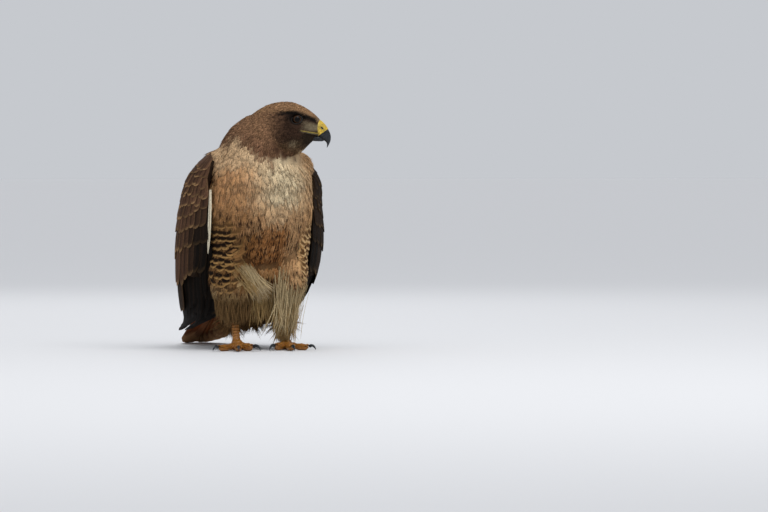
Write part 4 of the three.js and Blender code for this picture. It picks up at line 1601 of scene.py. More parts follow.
@dataclass
class StiffFeathers:
    """Flight feathers, tail feathers and coverts: thin closed vanes laid on a curved surface."""

    place: Place
    mesh: Mesh
    rng: Random
    bake_at: Pair = (0.1, 0.1)
    least_reach: float = 0.5
    flip: bool = False

    def lay(
        self,
        root: Pair,
        tip: Pair,
        width: float,
        lift: Pair,
        look: VaneLook,
        outline: Sequence[Pair] = ROUND_VANE,
        tilt: float = 0.0,
        thick: float = 0.5,
        cup: float = 0.6,
    ) -> None:
        """Lays one vane.

        Args:
            root: where its root is on the surface.
            tip: where its tip is on the surface.
            width: its full width in mm.
            lift: its heights above the surface at root and tip.
            look: its colours.
            outline: its outline.
            tilt: how much higher one edge stands than the other.
            thick: the vane's thickness.
            cup: how far the middle stands above the edges.
        """
        shape = np.array(outline)
        t, e = np.meshgrid(shape[:, 0], ACROSS, indexing="ij")
        share = shape[:, 1][:, None] * (1 + self.rng.normal(0, 0.02, t.shape[0])[:, None])
        a = root[0] + (tip[0] - root[0]) * t
        b = root[1] + (tip[1] - root[1]) * t
        h = lift[0] + (lift[1] - lift[0]) * t
        reach = np.linalg.norm(self.place(a, b + 0.01, h) - self.place(a, b - 0.01, h), axis=-1) / 0.02
        half = width * share / 2 / np.maximum(reach, self.least_reach)
        wander = 0.05 * np.sin(9 * t + self.rng.uniform(0, PHASES)) * np.abs(e) * half
        ridge = 0.35 * np.exp(-((e / 0.1) ** 2)) * (1 - 0.8 * t)
        height = h - e * tilt / 2 + cup * (1 - e * e) + ridge
        rim = thick / 2 * (1 - 0.6 * np.abs(e)) * (1 - 0.6 * smooth(t, 0.8, 1))
        top = self.place(a, b + e * half + wander, height + rim)
        low = self.place(a, b + e * half + wander, height - rim)
        half_count = t.size
        number = np.arange(half_count).reshape(t.shape)
        upper = grid_faces(number)
        under = upper[:, ::-1] + half_count
        edge = np.concatenate([number[0], number[1:, -1], number[-1, -2::-1], number[-2:0:-1, 0]])
        after = np.roll(edge, -1)
        wall = np.column_stack([after, edge, edge + half_count])
        rest = np.column_stack([after, edge + half_count, after + half_count])
        faces = np.concatenate([upper, under, wall, rest])
        faces = faces[:, ::-1] if self.flip else faces
        marks = np.stack([np.concatenate([e, e]), np.concatenate([t, t])], -1).reshape(-1, 2)
        tone = 1 + self.rng.normal(0, 0.07)
        colour = look.shade(marks[:, 0], marks[:, 1], tone)
        # Painted shade: each vane's underside is 15% darker than its top
        colour[half_count:] *= 0.85
        bake = np.array([self.bake_at[0] + 0.25 * root[1], self.bake_at[1] + 0.25 * root[0]])
        points = np.concatenate([top.reshape(-1, 3), low.reshape(-1, 3)])
        self.mesh.add(points, faces, colour, marks, bake + feather_patch(marks))


# Rows of the left wing from the shoulder to the tip: its front edge, its crest and its back edge
WING = [
    [[66, -24, 272], [60, 4, 281], [40, 28, 281]],
    [[84, -28, 243], [99, 8, 247], [48, 40, 262]],
    [[87, -26, 205], [108, 22, 206], [48, 56, 232]],
    [[86, -15, 160], [109, 36, 160], [43, 78, 197]],
    [[80, 8, 112], [99, 62, 108], [31, 104, 166]],
    [[65, 38, 68], [80, 100, 68], [18, 130, 138]],
    [[53, 84, 41], [58, 148, 48], [12, 168, 100]],
    [[45, 158, 26], [44, 192, 34], [14, 206, 67]],
    [[41, 211, 17], [41, 222, 25], [27, 229, 45]],
]
WING_INSIDE = [[20, -5, 262], [20, -6, 240], [20, 2, 208], [20, 22, 175], [24, 52, 138], [24, 85, 108]]


@dataclass(frozen=True)
class WingFit:
    """How far a wing stands out from its rows: all along, at the shoulder, the wrist and the front edge."""

    overall: float
    shoulder: float
    wrist: float
    edge: float


WING_TINT = pick_colours(
    covert="#51392a",
    covert_edge="#a9855c",
    flight="#33251a",
    flight_edge="#6b523a",
    primary="#0e0a07",
    primary_edge="#2a1f17",
    shaft="#30231a",
    white="#d6cbb2",
)


@dataclass
class Flank:
    """The broad barred feathers beside the thigh, on one side, laid close on the skin."""

    side: int
    rows: int
    columns: int
    tint: str
    dark: str
    edge: str
    skin: Piece
    lines: tuple[tuple[Triple, ...], ...] = (
        ((49, -48, 205), (68, -32, 205), (80, -2, 205)),
        ((51, -48, 170), (70, -32, 170), (80, -2, 170)),
        ((50, -44, 136), (66, -30, 136), (74, -2, 136)),
        ((47, -38, 102), (62, -26, 102), (68, -2, 102)),
        ((44, -30, 66), (54, -20, 66), (58, 0, 66)),
    )
    surface: BVHTree = field(init=False)

    def __post_init__(self) -> None:
        """Reads the skin's surface."""
        self.surface = BVHTree.FromObject(self.skin, bpy.context.evaluated_depsgraph_get())

    def place(self, u: Array, v: Array, h: Array) -> Array:
        """Points above the skin.

        Args:
            u: shares down the flank.
            v: shares from its front to its back.
            h: heights in mm.

        Returns:
            The points.
        """
        u, v, h = np.broadcast_arrays(np.asarray(u, float), np.asarray(v, float), np.asarray(h, float))
        f, m, b = (spline(rows, u) for rows in np.moveaxis(np.array(self.lines, float), 1, 0))
        guide = arch(f, m, b, v[..., None]) * [self.side, 1, 1]
        points = np.empty((guide.size // 3, 3))
        for i, (near, height) in enumerate(zip(guide.reshape(-1, 3), h.ravel())):
            spot, normal, _, _ = self.surface.find_nearest(Vector((near + SHIFT) * MM))
            points[i] = np.array(spot) / MM - SHIFT + np.array(normal) * height
        return points.reshape(guide.shape)

    def make(self, material: Material) -> None:
        """Builds and dresses the flank's feathers.

        Args:
            material: the plumage.
        """
        rng = np.random.default_rng(61 + self.side)
        mesh = Mesh()
        feathers = StiffFeathers(self.place, mesh, rng, (0.3, 0.35), 25.0, self.side > 0)
        markings = Markings()
        for row in range(self.rows):
            for column in range(self.columns):
                v = 0.02 + 0.96 * (column + 0.25 + 0.5 * (row % 2)) / self.columns + rng.normal(0, 0.03)
                tip = 0.08 + 0.88 * row / (self.rows - 1) + rng.normal(0, 0.012)
                inside = float(smooth(v, -0.05, 0.3) * smooth(tip, 0.04, 0.34) * smooth(1.06 - tip, 0, 0.25))
                if rng.random() > 0.35 + inside:
                    continue
                around = markings.body(self.place(tip, v, 0.0)[None])[0][0]
                vane = blend(around, linear(self.tint), inside) * rng.uniform(0.85, 1.15)
                dark = blend(vane, linear(self.dark), inside)
                edge = blend(vane, linear(self.edge), inside)
                look = VaneLook(vane, edge, dark, 0.6, crescent=dark)
                width = 105 / self.columns * rng.uniform(0.9, 1.2)
                root = max(tip - 0.28, 0.0)
                end = (tip, v + rng.normal(0, 0.02))
                lift = (0.2, 2.2 + 2.4 * inside)
                feathers.lay((root, v), end, width, lift, look, BLUNT_VANE, thick=0.3, cup=0.7)
        piece = mesh.build("feathers_flank_" + ("left" if self.side > 0 else "right"))
        finish_piece(piece, material, "breast_feathers")


@dataclass
class Tier:
    """One row of a wing's feathers: how many, and where the row, the roots and the tips run."""

    count: int
    row: Pair
    root: Pair
    tip: Pair
    lift: float
    overlap: float = 1.5
    bars: float = 0.0


@dataclass
class Wing:
    """One folded wing: a core, its coverts in rows and its flight feathers, from shoulder to tip."""

    side: int
    name: str
    fit: WingFit
    core_end: float = 0.52
    seed: int = 21
    tiers: tuple[Tier, ...] = (
        Tier(11, (0.04, 0.92), (0.0, 0.0), (0.075, 0.08), 0.9),
        Tier(13, (0.02, 0.92), (0.03, 0.03), (0.115, 0.125), 1.0),
        Tier(14, (0.02, 0.93), (0.06, 0.06), (0.155, 0.17), 1.1),
        Tier(15, (0.01, 0.93), (0.09, 0.1), (0.195, 0.22), 1.2),
        Tier(16, (0.0, 0.93), (0.125, 0.14), (0.235, 0.27), 1.3),
        Tier(16, (0.0, 0.94), (0.16, 0.185), (0.275, 0.32), 1.4),
        Tier(16, (0.0, 0.94), (0.2, 0.23), (0.325, 0.38), 1.5),
        Tier(15, (-0.02, 0.94), (0.25, 0.29), (0.39, 0.46), 1.6),
        Tier(15, (-0.03, 0.94), (0.31, 0.36), (0.49, 0.58), 1.8),
        Tier(14, (0.28, 0.95), (0.42, 0.47), (0.64, 0.8), 1.8, 1.8, 0.3),
    )
    # Dark feathers of the front edge: place across, start and end along the wing, and width
    front: tuple[tuple[float, float, float, float], ...] = (
        (0.03, 0.14, 0.44, 12),
        (0.0, 0.22, 0.52, 12),
        (-0.03, 0.3, 0.62, 12),
        (0.02, 0.38, 0.7, 16),
        (-0.05, 0.42, 0.74, 14),
        (0.02, 0.5, 0.82, 20),
        (-0.05, 0.52, 0.86, 18),
        (-0.1, 0.56, 0.88, 18),
        (0.02, 0.6, 0.93, 20),
        (-0.05, 0.62, 0.93, 20),
        (-0.12, 0.62, 0.93, 20),
        (-0.19, 0.64, 0.93, 20),
    )
    # How far along the wing each outer flight feather ends
    primaries: tuple[float, ...] = (0.8, 0.87, 0.93, 0.975, 1.0, 0.985, 0.94, 0.88, 0.82)

    def skin(self, u: Array, v: Array, h: Array) -> Array:
        """Points above the folded wing's outer surface.

        Args:
            u: shares from shoulder to tip.
            v: shares from front to back.
            h: heights in mm.

        Returns:
            The points.
        """
        u, v, h = np.broadcast_arrays(np.asarray(u, float), np.asarray(v, float), np.asarray(h, float))

        def base(uu: Array, vv: Array) -> Array:
            """The surface itself.

            Args:
                uu: shares from shoulder to tip.
                vv: shares from front to back.

            Returns:
                Its points.
            """
            f, m, b = (spline(rows, uu) for rows in np.moveaxis(np.array(WING, float), 1, 0))
            fit, level = self.fit, 0 * uu
            f = f + np.stack([fit.edge * bell(uu, 0.72, 0.12), level, level], -1)
            out = fit.overall + fit.shoulder * bell(uu, 0, 0.09) + fit.wrist * bell(uu, 0.2, 0.24)
            return arch(f, m, b, vv[..., None]) + np.stack([out, level, level], -1)

        step = 0.01
        along = base(u + step, v) - base(u - step, v)
        across = base(u, v + step) - base(u, v - step)
        points = base(u, v) + unit(np.cross(along, across)) * h[..., None]
        return points * [self.side, 1, 1]

    def core(self, mesh: Mesh) -> None:
        """The wing's flesh and the bases of its coverts, hidden under the feathers.

        Args:
            mesh: the mesh to fill.
        """

        def at(t: Array, angle: Array) -> Array:
            """A point of the core.

            Args:
                t: shares along it.
                angle: angles round it, the outer half first.

            Returns:
                The points.
            """
            u = self.core_end * t
            outer = angle <= math.pi
            v = np.where(outer, angle / math.pi, 2 - angle / math.pi)
            p = self.skin(u, 0.03 + 0.94 * v, np.full_like(u, -1.6)) * [self.side, 1, 1]
            depth = (0.42 - 0.38 * smooth(u, 0.3, self.core_end)) * np.sin(math.pi * v).clip(0) ** 0.5
            inner = blend(p, spline(WING_INSIDE, t), depth)
            p = np.where(outer[:, None], p, inner)
            ends = np.where((t < 0.5)[:, None], np.array([46.0, 0, 270]), p)
            return np.where((t < 1e-6)[:, None], ends, p) * [self.side, 1, 1]

        points, faces = lofted(at, 32, 24)
        faces = faces if self.side > 0 else faces[:, ::-1]
        bake = np.column_stack([0.6 + points[:, 1] / 2000, 0.5 + points[:, 2] / 2000])
        # Painted shade: the hidden core is the flight brown at 0.6, dark as the shade under the feathers
        mesh.add_form(points, faces, WING_TINT["flight"] * 0.6, bake)

    def make(self, material: Material) -> None:
        """Builds and dresses the wing.

        Args:
            material: the stiff feathers' finish.
        """
        rng = np.random.default_rng(self.seed)
        mesh = Mesh()
        self.core(mesh)
        corner = (0.1 if self.side > 0 else 0.6, 0.6)
        feathers = StiffFeathers(self.skin, mesh, rng, corner, flip=self.side > 0)
        for tier in self.tiers:
            self.lay_tier(feathers, tier, rng)
        self.lay_primaries(feathers, rng)
        dark = VaneLook(WING_TINT["primary"], WING_TINT["primary_edge"], WING_TINT["shaft"] * 0.4, 0.5)
        for v, start, end, width in self.front:
            feathers.lay((start, v), (end, v + 0.02), width, (-3.4, -1.2 + 6 * v), dark, LONG_VANE, -1.0)
        if self.side < 0:
            pale = VaneLook(WING_TINT["white"], WING_TINT["white"], WING_TINT["shaft"], 0.2)
            feathers.lay((0.18, -0.04), (0.44, -0.045), 5, (0.6, 1.4), pale, LONG_VANE)
        piece = mesh.build(self.name)
        finish_piece(piece, material, "wing_feathers", self.name.replace("plumage", "wing"))

    def lay_tier(self, feathers: StiffFeathers, tier: Tier, rng: Random) -> None:
        """Lays one row of coverts or secondaries, each over the one in front of it.

        Args:
            feathers: the layer of feathers.
            tier: the row.
            rng: the random numbers.
        """
        for i in range(tier.count):
            share = (i + 0.5) / tier.count
            v = tier.row[0] + (tier.row[1] - tier.row[0]) * share
            root = tier.root[0] + (tier.root[1] - tier.root[0]) * share
            tip = tier.tip[0] + (tier.tip[1] - tier.tip[0]) * share + rng.normal(0, 0.009)
            arc = np.linalg.norm(self.skin(tip, v + 0.05, 0.0) - self.skin(tip, v - 0.05, 0.0)) * 10
            width = max(11.0, tier.overlap * (tier.row[1] - tier.row[0]) * arc / tier.count)
            stiff = tier.bars > 0
            dark = float(smooth(0.3 - v, 0.0, 0.25) * smooth(tip, 0.2, 0.42))
            # Painted shade: the left wing's vanes are blended towards near black and their edges dimmed, for
            # the shade that wing lies in
            if self.side > 0:
                dark = max(dark, 0.85 * float(smooth(0.9 - v, 0, 0.3)))
            vane = WING_TINT["flight" if stiff else "covert"] * rng.uniform(0.7, 1.4)
            edge = WING_TINT["flight_edge" if stiff else "covert_edge"] * rng.uniform(0.3, 1.0)
            look = VaneLook(
                blend(vane, WING_TINT["primary"], dark),
                edge * (1 - 0.8 * dark),
                WING_TINT["shaft"] * (0.35 if stiff else 0.5),
                0.8,
                tier.bars,
            )
            wander = v + rng.normal(0, 0.012)
            feathers.lay((root, v), (tip, wander), width, (-1.8, tier.lift), look, tilt=1.2)

    def lay_primaries(self, feathers: StiffFeathers, rng: Random) -> None:
        """Lays the long outer flight feathers, stacked from the front edge.

        Args:
            feathers: the layer of feathers.
            rng: the random numbers.
        """
        last = len(self.primaries) - 1
        look = VaneLook(WING_TINT["primary"], WING_TINT["primary_edge"], WING_TINT["shaft"] * 0.5, 0.6)
        for i, tip in enumerate(self.primaries):
            v = 0.04 + 0.47 * i / last
            level = 0.8 - 0.5 * (last - i)
            end = (tip, v + 0.1 + rng.normal(0, 0.004))
            feathers.lay((0.5, v), end, 17, (level - 0.5, level), look, LONG_VANE, 1.0, 0.45)


TAIL_TINT = pick_colours(
    rufous="#8c4a25",
    tip="#c9a67a",
    band="#20130c",
    shaft="#4a2a17",
    covert="#5a3d2a",
    covert_edge="#a2683c",
    vent="#b3976b",
    vent_edge="#cdb58b",
)


@dataclass
class Tail:
    """The closed tail and the coverts over and under its base."""

    pairs: int = 6
    width: float = 27.0
    step: float = 0.8

    def place(self, s: Array, x: Array, n: Array) -> Array:
        """Points of the tail's frame, kept off the floor.

        Args:
            s: distances along it.
            x: distances across it.
            n: heights above it.

        Returns:
            The points.
        """
        s, x, n = np.broadcast_arrays(*(np.asarray(v, float) for v in (s, x, n)))
        along = np.array([0, math.cos(TAIL_DROOP), -math.sin(TAIL_DROOP)])
        above = np.array([0, math.sin(TAIL_DROOP), math.cos(TAIL_DROOP)])
        bow = n - 4 * np.abs(x / 30) ** 3
        points = TAIL_ROOT + s[..., None] * along + bow[..., None] * above
        points = points + x[..., None] * np.array([1.0, 0, 0])
        points[..., 2] = np.maximum(points[..., 2], 0.15)
        return points

    def make(self, material: Material) -> None:
        """Builds and dresses the tail feathers and the coverts round them.

        Args:
            material: the stiff feathers' finish.
        """
        rng = np.random.default_rng(31)
        mesh = Mesh()
        feathers = StiffFeathers(self.place, mesh, rng, (0.35, 0.02))
        for i in range(self.pairs):
            for side in (1, -1):
                level = -self.step * (2 * i + (side < 0))
                length = TAIL_LENGTH - 1.3 * i * i
                look = VaneLook(
                    TAIL_TINT["rufous"], TAIL_TINT["tip"], TAIL_TINT["shaft"], 0.55, 0.0, TAIL_TINT["band"]
                )
                root = (16, side * (2.5 + 2.2 * i))
                tip = (length, side * (5 + 4.1 * i))
                feathers.lay(root, tip, self.width, (level, level), look, ROUND_VANE, 0.0, 0.4, 0.3)
        self.root_block(mesh)
        piece = mesh.build("plumage_tail")
        finish_piece(piece, material, "tail_feathers", "tail")
        self.coverts(material, rng)

    def root_block(self, mesh: Mesh) -> None:
        """The fleshy root that holds the tail feathers.

        Args:
            mesh: the mesh to fill.
        """

        def at(t: Array, angle: Array) -> Array:
            """A point of the root."""
            wide = np.sin(math.pi * t)
            return self.place(4 + 52 * t, 18 * wide * np.cos(angle), 5 * wide * np.sin(angle) - 4.4)

        points, faces = lofted(at, 20, 14)
        # Painted shade: the hidden root is the coverts' brown at 0.6, dark as the shade under the feathers
        mesh.add_form(points, faces, TAIL_TINT["covert"] * 0.6, 0.4)

    def coverts(self, material: Material, rng: Random) -> None:
        """Rows of coverts that hide where tail and rump meet, above and below.

        Args:
            material: the stiff feathers' finish.
            rng: the random numbers.
        """
        mesh = Mesh()
        feathers = StiffFeathers(self.place, mesh, rng, (0.35, 0.3))
        rows = (
            (9, -34, 34, (18, 22), 15, (15, 12), "covert"),
            (9, -14, 58, (18, 23), 15, (12, 8.5), "covert"),
            (7, 2, 78, (15, 22), 16, (7.5, 5), "covert"),
            (7, -14, 60, (14, 18), 15, (-15, -14.2), "vent"),
            (7, 6, 92, (12, 18), 15, (-12.8, -13.2), "vent"),
        )
        for count, start, end, spread, width, lift, kind in rows:
            for i in range(count):
                x = 2 * (i + 0.5) / count - 1
                sign = 1 if lift[0] > 0 else -1
                heights = tuple(height + sign * 0.9 * (i % 2) for height in lift)
                look = VaneLook(
                    TAIL_TINT[kind] * (0.85 + 0.3 * rng.random()),
                    TAIL_TINT[kind + "_edge"],
                    TAIL_TINT["shaft"],
                    0.7,
                )
                tip = end - 9 * x * x + rng.normal(0, 2)
                feathers.lay((start, x * spread[0]), (tip, x * spread[1]), width, heights, look)
        piece = mesh.build("plumage_tail_coverts")
        finish_piece(piece, material, "rump_feathers")


@dataclass
class Head:
    """The eyes with their lids, and the bill with its cere and the yellow edge of the mouth."""

    lid_radius: float = 6.9
    lid_thickness: float = 0.75

    def eyes(self) -> None:
        """Builds each eyeball as a fine sphere with its own gaze, and the lids' rim round it."""
        # Wrinkled dark lids have no gloss, so the wet eye stands out from them
        lid = ScaledSkin("Eyelid skin, bare and wrinkled", "#1d1613", "#0b0806", 1.1, 0.4, 0.7).material()
        for side, name in SIDES:
            centre = (in_head(0, side * EYE_OUT, 0) + SHIFT) * MM
            out = in_head(0.16, side * 1.0, -0.02) - HEAD_AT
            gaze = out / np.linalg.norm(out)
            deselect()
            bpy.ops.mesh.primitive_uv_sphere_add(
                segments=48, ring_count=32, radius=(EYE_RADIUS - 0.1) * MM, location=tuple(centre)
            )
            eye = bpy.context.object
            eye.name = "eyeball_" + name
            bpy.ops.object.transform_apply(location=True, rotation=True, scale=True)
            bpy.ops.object.shade_smooth()
            gloss = EyeGloss("Eye, wet cornea over brown iris, " + name, tuple(centre), tuple(gaze))
            finish_piece(eye, gloss.material(), "eye", "eye_" + name)
            self.lids(side, name, lid)

    def lids(self, side: int, name: str, material: Material) -> None:
        """The soft rim of one eye's lids, a ring squeezed to an almond and sunk in the socket.

        Args:
            side: 1 for the left and -1 for the right.
            name: the side's name.
            material: the lids' skin.
        """
        deselect()
        bpy.ops.mesh.primitive_torus_add(
            major_segments=48,
            minor_segments=12,
            major_radius=self.lid_radius * MM,
            minor_radius=self.lid_thickness * MM,
            rotation=(math.pi / 2, 0, HEAD_YAW),
        )
        rim = bpy.context.object
        rim.name = "lids_" + name
        bpy.ops.object.transform_apply(location=False, rotation=True, scale=True)
        flat = np.empty(len(rim.data.vertices) * 3)
        rim.data.vertices.foreach_get("co", flat)
        local = to_head(flat.reshape(-1, 3) / MM + HEAD_AT)
        upper = local[:, 2] > 0
        local[:, 2] *= np.where(upper, 0.78, 0.86)
        local[:, 2] += 0.12 * local[:, 0] - 0.3
        local[:, 1] -= side * 0.03 * local[:, 0] ** 2 * 0.6
        points = in_head(local[:, 0] * 1.08 + 0.2, local[:, 1] + side * 20.6, local[:, 2])
        rim.data.vertices.foreach_set("co", ((points + SHIFT) * MM).ravel())
        rim.data.update()
        bpy.ops.object.shade_smooth()
        finish_piece(rim, material, "head_feathers")

    def bill(self) -> None:
        """The horn of the bill, the waxy cere drawn over its base, the lower bill and the mouth's edges."""
        # Polished slate horn shows a soft highlight, and the waxy cere beside it an even, warm gloss
        horn = Horn("Bill horn, slate, polished by use", "#303338", "#0a0b0c").material()
        wax = ScaledSkin("Cere, bare waxy skin", "#ffffff", "#d8d8d8", 4.0, 0.06, 0.4, True).material()
        hook = self.form(BILL, 0.0, "#ffffff").build("bill_hook")
        finish_piece(hook, horn, "horn", "bill_upper")
        scoop = self.form(SCOOP, 0.0, "#ffffff").build("bill_scoop")
        finish_piece(scoop, horn, "horn", "bill_lower")
        cere = self.form(BILL, 0.4, "#d3b030").build("cere_skin")
        self.trim_cere(cere)
        self.shape_cere(cere)
        finish_piece(cere, wax, "cere", "cere")
        for side, name in SIDES:
            lips = Mesh()
            for drop, radius, colour in ((0.0, 1.15, "#86701f"), (1.8, 0.8, "#3f3319")):
                self.lip(lips, side, drop, radius, linear(colour))
            finish_piece(lips.build("mouth_edge_" + name), wax, "cere", "gape_" + name)

    def form(self, rows: Rows, height: float, colour: str) -> Mesh:
        """A fine closed form of the head's rows, all in one colour.

        Args:
            rows: the form's rows.
            height: how far above them it lies.
            colour: its hex colour.

        Returns:
            The form as a mesh.
        """
        points, faces = lofted(lambda t, a: head_point(rows, t, a, height), 72, 84)
        mesh = Mesh()
        mesh.add_form(points, faces, linear(colour))
        return mesh

    def trim_cere(self, piece: Piece) -> None:
        """Cuts the cere off along the slanting line where the horn comes out from under it.

        Args:
            piece: the cere.
        """
        normal = in_head(0.58, 0, -0.815) - HEAD_AT
        pick(piece)
        bpy.ops.object.mode_set(mode="EDIT")
        bpy.ops.mesh.select_all(action="SELECT")
        bpy.ops.mesh.bisect(
            plane_co=tuple((in_head(32, 0, -22) + SHIFT) * MM),
            plane_no=tuple(normal),
            use_fill=True,
            clear_outer=True,
        )
        bpy.ops.object.mode_set(mode="OBJECT")

    def shape_cere(self, piece: Piece) -> None:
        """Sinks the nostrils into the cere and shades it olive towards them and the feathers.

        Args:
            piece: the cere.
        """
        mesh = piece.data
        h = to_head(read_points(mesh))
        away = np.hypot((h[:, 0] - 35.4) / 1.5, (h[:, 2] + 12.4 + 0.5 * (h[:, 0] - 35.4)) / 0.95)
        pit = 1 - smooth(away, 0.4, 1.5)
        h[:, 1] *= 1 - 0.28 * pit
        write_points(mesh, in_head(*h.T))
        olive = 1 - smooth(away, 1.2, 4.5)
        colour = blend(np.broadcast_to(linear("#d0ad33"), h.shape), linear("#8d7a2a"), 0.75 * olive)
        # Painted shade: the nostril's opening is painted near black
        colour = blend(colour, linear("#141008"), pit)
        colour = blend(colour, linear("#b0984a"), 0.5 * (1 - smooth(h[:, 0], 29, 33)))
        mesh.color_attributes["Coat"].data.foreach_set("color", with_alpha(colour))

    def lip(self, mesh: Mesh, side: int, drop: float, radius: float, colour: Array) -> None:
        """One fleshy edge of the mouth, from the cere to under the eye.

        Args:
            mesh: the mesh to fill.
            side: 1 for the left and -1 for the right.
            drop: how far it lies below the upper edge.
            radius: its half thickness.
            colour: its linear colour.
        """
        line = [[31.5, 8.4, -20.4], [25, 12.6, -19.4], [15, 18.1, -17.9], [4, 23.4, -15.8]]

        def at(t: Array, angle: Array) -> Array:
            """A point of the lip.

            Args:
                t: shares from the cere back.
                angle: angles round it.

            Returns:
                The points.
            """
            x, y, z = spline(line, t).T
            size = radius * np.sin(math.pi * (0.12 + 0.8 * t)) ** 0.5 * open_share(t)
            out = side * (y - 0.5 + 0.9 * size * np.cos(angle))
            return in_head(x, out, z - drop * (1 - 0.35 * t) + size * np.sin(angle))

        points, faces = lofted(at, 14, 40)
        mesh.add_form(points, faces if side > 0 else faces[:, ::-1], colour)

    def make(self) -> None:
        """Builds and dresses the eyes and the bill."""
        self.eyes()
        self.bill()


@dataclass
class Leg:
    """One leg's bare tarsus and foot with their plates, and its claws."""

    name: str
    side: int
    spread: float = 37.0
    toe_turn: float = 14.0
    plate_step: float = 3.1
    shin_plates: int = 11
    shin_step: float = 4.3
    shin_radius: float = 5.6
    # Each toe's name, its turn in degrees, its reach and its half width
    toes: tuple[tuple[str, float, float, float], ...] = (
        ("hind", 176, 32, 5.46),
        ("inner", -34, 34, 5.6),
        ("middle", 4, 49, 5.2),
        ("outer", 48, 40, 4.8),
    )
    # Places across a plate, from its back edge to its front edge, with its heights there
    profile: tuple[Pair, ...] = ((-1.9, -0.7), (-1.5, 0.25), (0.2, 0.5), (1.5, 0.15), (1.8, -0.7))

    def plates(self, mesh: Mesh) -> None:
        """Overlapping plates along the tops of the toes and the front of the tarsus.

        Args:
            mesh: the mesh to fill.
        """
        for _, turn, reach, radius in self.toes:
            angle = math.radians(turn - self.side * self.toe_turn)
            ahead = np.array([self.side * math.sin(angle), -math.cos(angle), 0])
            count = int(reach / self.plate_step)
            for i in range(2, count):
                share = i / count
                centre = np.array([self.side * self.spread, -7.0, 2 * radius - 0.9 + 1.9 * (1 - share) ** 2])
                swell = 0.12 * math.cos(6 * math.pi * share) * radius
                centre = centre + ahead * (reach * share) + [0, 0, swell]
                self.plate(mesh, centre, ahead, np.array([0, 0, 1.0]), radius)
        for i in range(self.shin_plates):
            z = 18 + self.shin_step * i
            share = (z - 8) / 54
            centre = np.array([self.side * (self.spread + share), -5 + 13 * share - 5.3, z])
            ahead = np.array([0, 0.25, 1.0])
            self.plate(mesh, centre, -unit(ahead), np.array([0, -1.0, 0.25]), self.shin_radius)

    def plate(self, mesh: Mesh, centre: Array, ahead: Array, above: Array, radius: float) -> None:
        """One low, domed plate across a toe, wrapped round its top.

        Args:
            mesh: the mesh to fill.
            centre: the top of its middle.
            ahead: the way along the toe.
            above: the way up from the toe.
            radius: the toe's half width.
        """
        side = np.cross(ahead, above)
        angles = np.linspace(-1.05, 1.05, 7)
        rings = []
        for forward, height in self.profile:
            across = side[None] * (np.sin(angles) * (radius + height))[:, None]
            rise = above[None] * (np.cos(angles) * (radius + height) - radius)[:, None]
            rings.append(centre + ahead * forward + across + rise)
        points = np.concatenate(rings)
        number = np.arange(len(points)).reshape(len(rings), -1)
        first, last = number[0], number[-1]
        faces = [
            grid_faces(number)[:, [0, 2, 1]],
            np.column_stack([first[:-1], first[1:], last[1:]]),
            np.column_stack([first[:-1], last[1:], last[:-1]]),
        ]
        for ring, order in ((number[:, 0], 1), (number[:, -1], -1)):
            fan = np.array([(ring[0], ring[k], ring[k + 1]) for k in range(1, len(ring) - 1)])
            faces.append(fan[:, ::order])
        mesh.add_form(points, np.concatenate(faces), np.ones(3), 0.5)

    def make(self, scales: Material, horn: Material) -> None:
        """Builds and dresses the leg.

        Args:
            scales: the skin of leg and foot.
            horn: the claws' finish.
        """
        skin = joined_copy("leg_skin_" + self.name, ("tarsus_" + self.name, "foot_" + self.name))
        rounded(skin, 0.9, 4)
        finish_piece(skin, scales, "leg_scales", "tarsus_" + self.name, "foot_" + self.name)
        mesh = Mesh()
        self.plates(mesh)
        piece = mesh.build("leg_plates_" + self.name)
        finish_piece(piece, scales, "leg_scales")
        for toe, *_ in self.toes:
            node = "claw_%s_%s" % (toe, self.name)
            claw = joined_copy("talon_%s_%s" % (toe, self.name), (node,))
            rounded(claw, 0.35, 4)
            finish_piece(claw, horn, "horn", node)


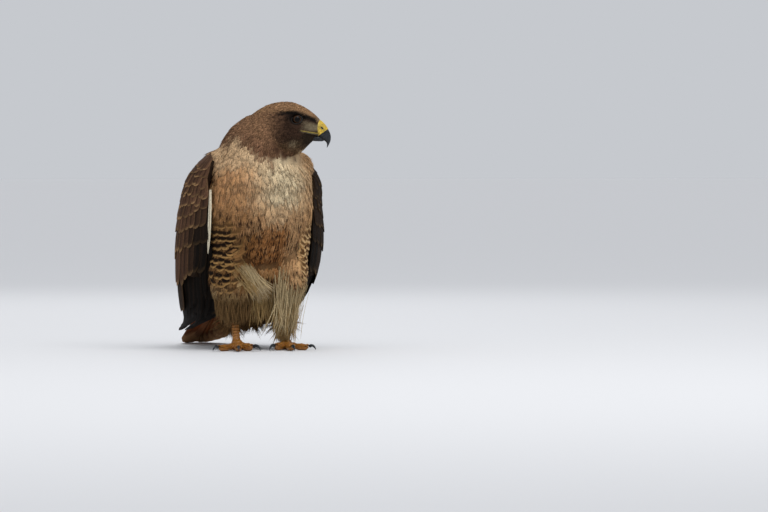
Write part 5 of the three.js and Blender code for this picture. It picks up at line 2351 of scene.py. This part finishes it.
@dataclass
class Studio:
    """The floor, the light and the camera."""

    azimuth: float = math.radians(-22)
    elevation: float = math.radians(1.2)
    lens: float = 200.0
    sensor: float = 36.0
    feet_pixel: Pair = (260.0, 350.0)

    def camera(self) -> None:
        """Aims a long lens so that the feet fall on their place in the photograph."""
        across = np.array([math.cos(self.azimuth), math.sin(self.azimuth), 0])
        back = np.array([math.sin(self.azimuth), -math.cos(self.azimuth), 0]) * math.cos(self.elevation)
        back[2] = math.sin(self.elevation)
        right = (IMAGE_SIZE[0] / 2 - self.feet_pixel[0]) * MM_PER_PIXEL
        rise = (self.feet_pixel[1] - IMAGE_SIZE[1] / 2) * MM_PER_PIXEL
        aim = (across * right + np.array([0, 0, rise]) + SHIFT) * MM
        distance = IMAGE_SIZE[0] * MM_PER_PIXEL * MM * self.lens / self.sensor
        data = bpy.data.cameras.new("Camera")
        data.lens = self.lens
        data.sensor_width = self.sensor
        data.clip_end = 200
        camera = add_object("Camera", data)
        camera.location = Vector(aim + back * distance)
        camera.rotation_euler = Vector(back).to_track_quat("Z", "Y").to_euler()
        bpy.context.scene.camera = camera

    def floor(self) -> None:
        """A wide, pale, matt floor."""
        deselect()
        bpy.ops.mesh.primitive_plane_add(size=160)
        plane = bpy.context.object
        plane.name = "floor"
        plane.data.materials.append(FloorPaint().material())

    def lights(self) -> None:
        """Soft light from above and the front left, with a pale surround."""
        world = bpy.data.worlds.new("Pale room")
        world.use_nodes = True
        feed(world.node_tree.nodes["Background"], {0: (*linear("#c6c9ce"), 1), 1: 1.0})
        bpy.context.scene.world = world
        for name, energy, size, spot in (
            ("Key", 24, 1.8, (0.3, -1.7, 2.3)),
            ("Fill", 4, 2.2, (-2.2, -1.3, 1.2)),
            ("Rim", 8, 1.4, (0.6, 2.0, 1.8)),
        ):
            data = bpy.data.lights.new(name, "AREA")
            data.energy = energy
            data.size = size
            lamp = add_object(name, data)
            lamp.location = spot
            lamp.rotation_euler = (Vector(spot) - Vector((0, 0, 0.2))).to_track_quat("Z", "Y").to_euler()

    def daylight(self) -> None:
        """A weak, very soft sun that evens the floor out to the horizon."""
        data = bpy.data.lights.new("Daylight", "SUN")
        data.energy = 0.62
        data.angle = math.radians(80)
        lamp = add_object("Daylight", data)
        lamp.rotation_euler = (math.radians(35), 0, math.radians(-10))

    def make(self) -> None:
        """Sets up camera, floor and lights."""
        # The plain transform keeps the feathers' colours as they are given
        bpy.context.scene.view_settings.view_transform = "Standard"
        self.camera()
        self.floor()
        self.lights()
        self.daylight()


def main() -> None:
    """Builds the studio and the bird."""
    logging.basicConfig(level=logging.INFO, format="%(message)s")
    Studio().make()
    Head().make()
    skin, plumage = Body().make()
    # Stiff vanes are smoother than the body's feathers, so the wings and the tail look sleek
    stiff = Plumage(
        "Flight feathers, stiff keratin vanes", roughness=0.7, sheen=0.0, barb_mm=1.1, feather_mm=90.0
    ).material()
    Wing(1, "plumage_left", WingFit(overall=0, shoulder=0, wrist=-15, edge=14)).make(stiff)
    Wing(-1, "plumage_right", WingFit(overall=4, shoulder=9, wrist=0, edge=0)).make(stiff)
    Tail().make(stiff)
    Flank(-1, rows=13, columns=5, tint="#84603a", dark="#190e07", edge="#a5824f", skin=skin).make(plumage)
    Flank(1, rows=15, columns=7, tint="#b48a58", dark="#4a301a", edge="#cdb184", skin=skin).make(plumage)
    Locks().make(plumage)
    # Small dry scales with dark creases, partly painted shade, give the legs a fine net and a broken, soft
    # gloss
    scales = ScaledSkin(
        "Leg skin, small scales, matt with a soft gloss", "#a0671f", "#4f300f", scale_mm=1.5, relief=0.5
    ).material()
    # Claws are worn smooth, so they read as near black with one small highlight each
    horn = Horn("Claw horn, near black", "#3a3f45", "#0b0c0e").material()
    for side, name in SIDES:
        Leg(name, side).make(scales, horn)


if __name__ == "__main__":
    main()
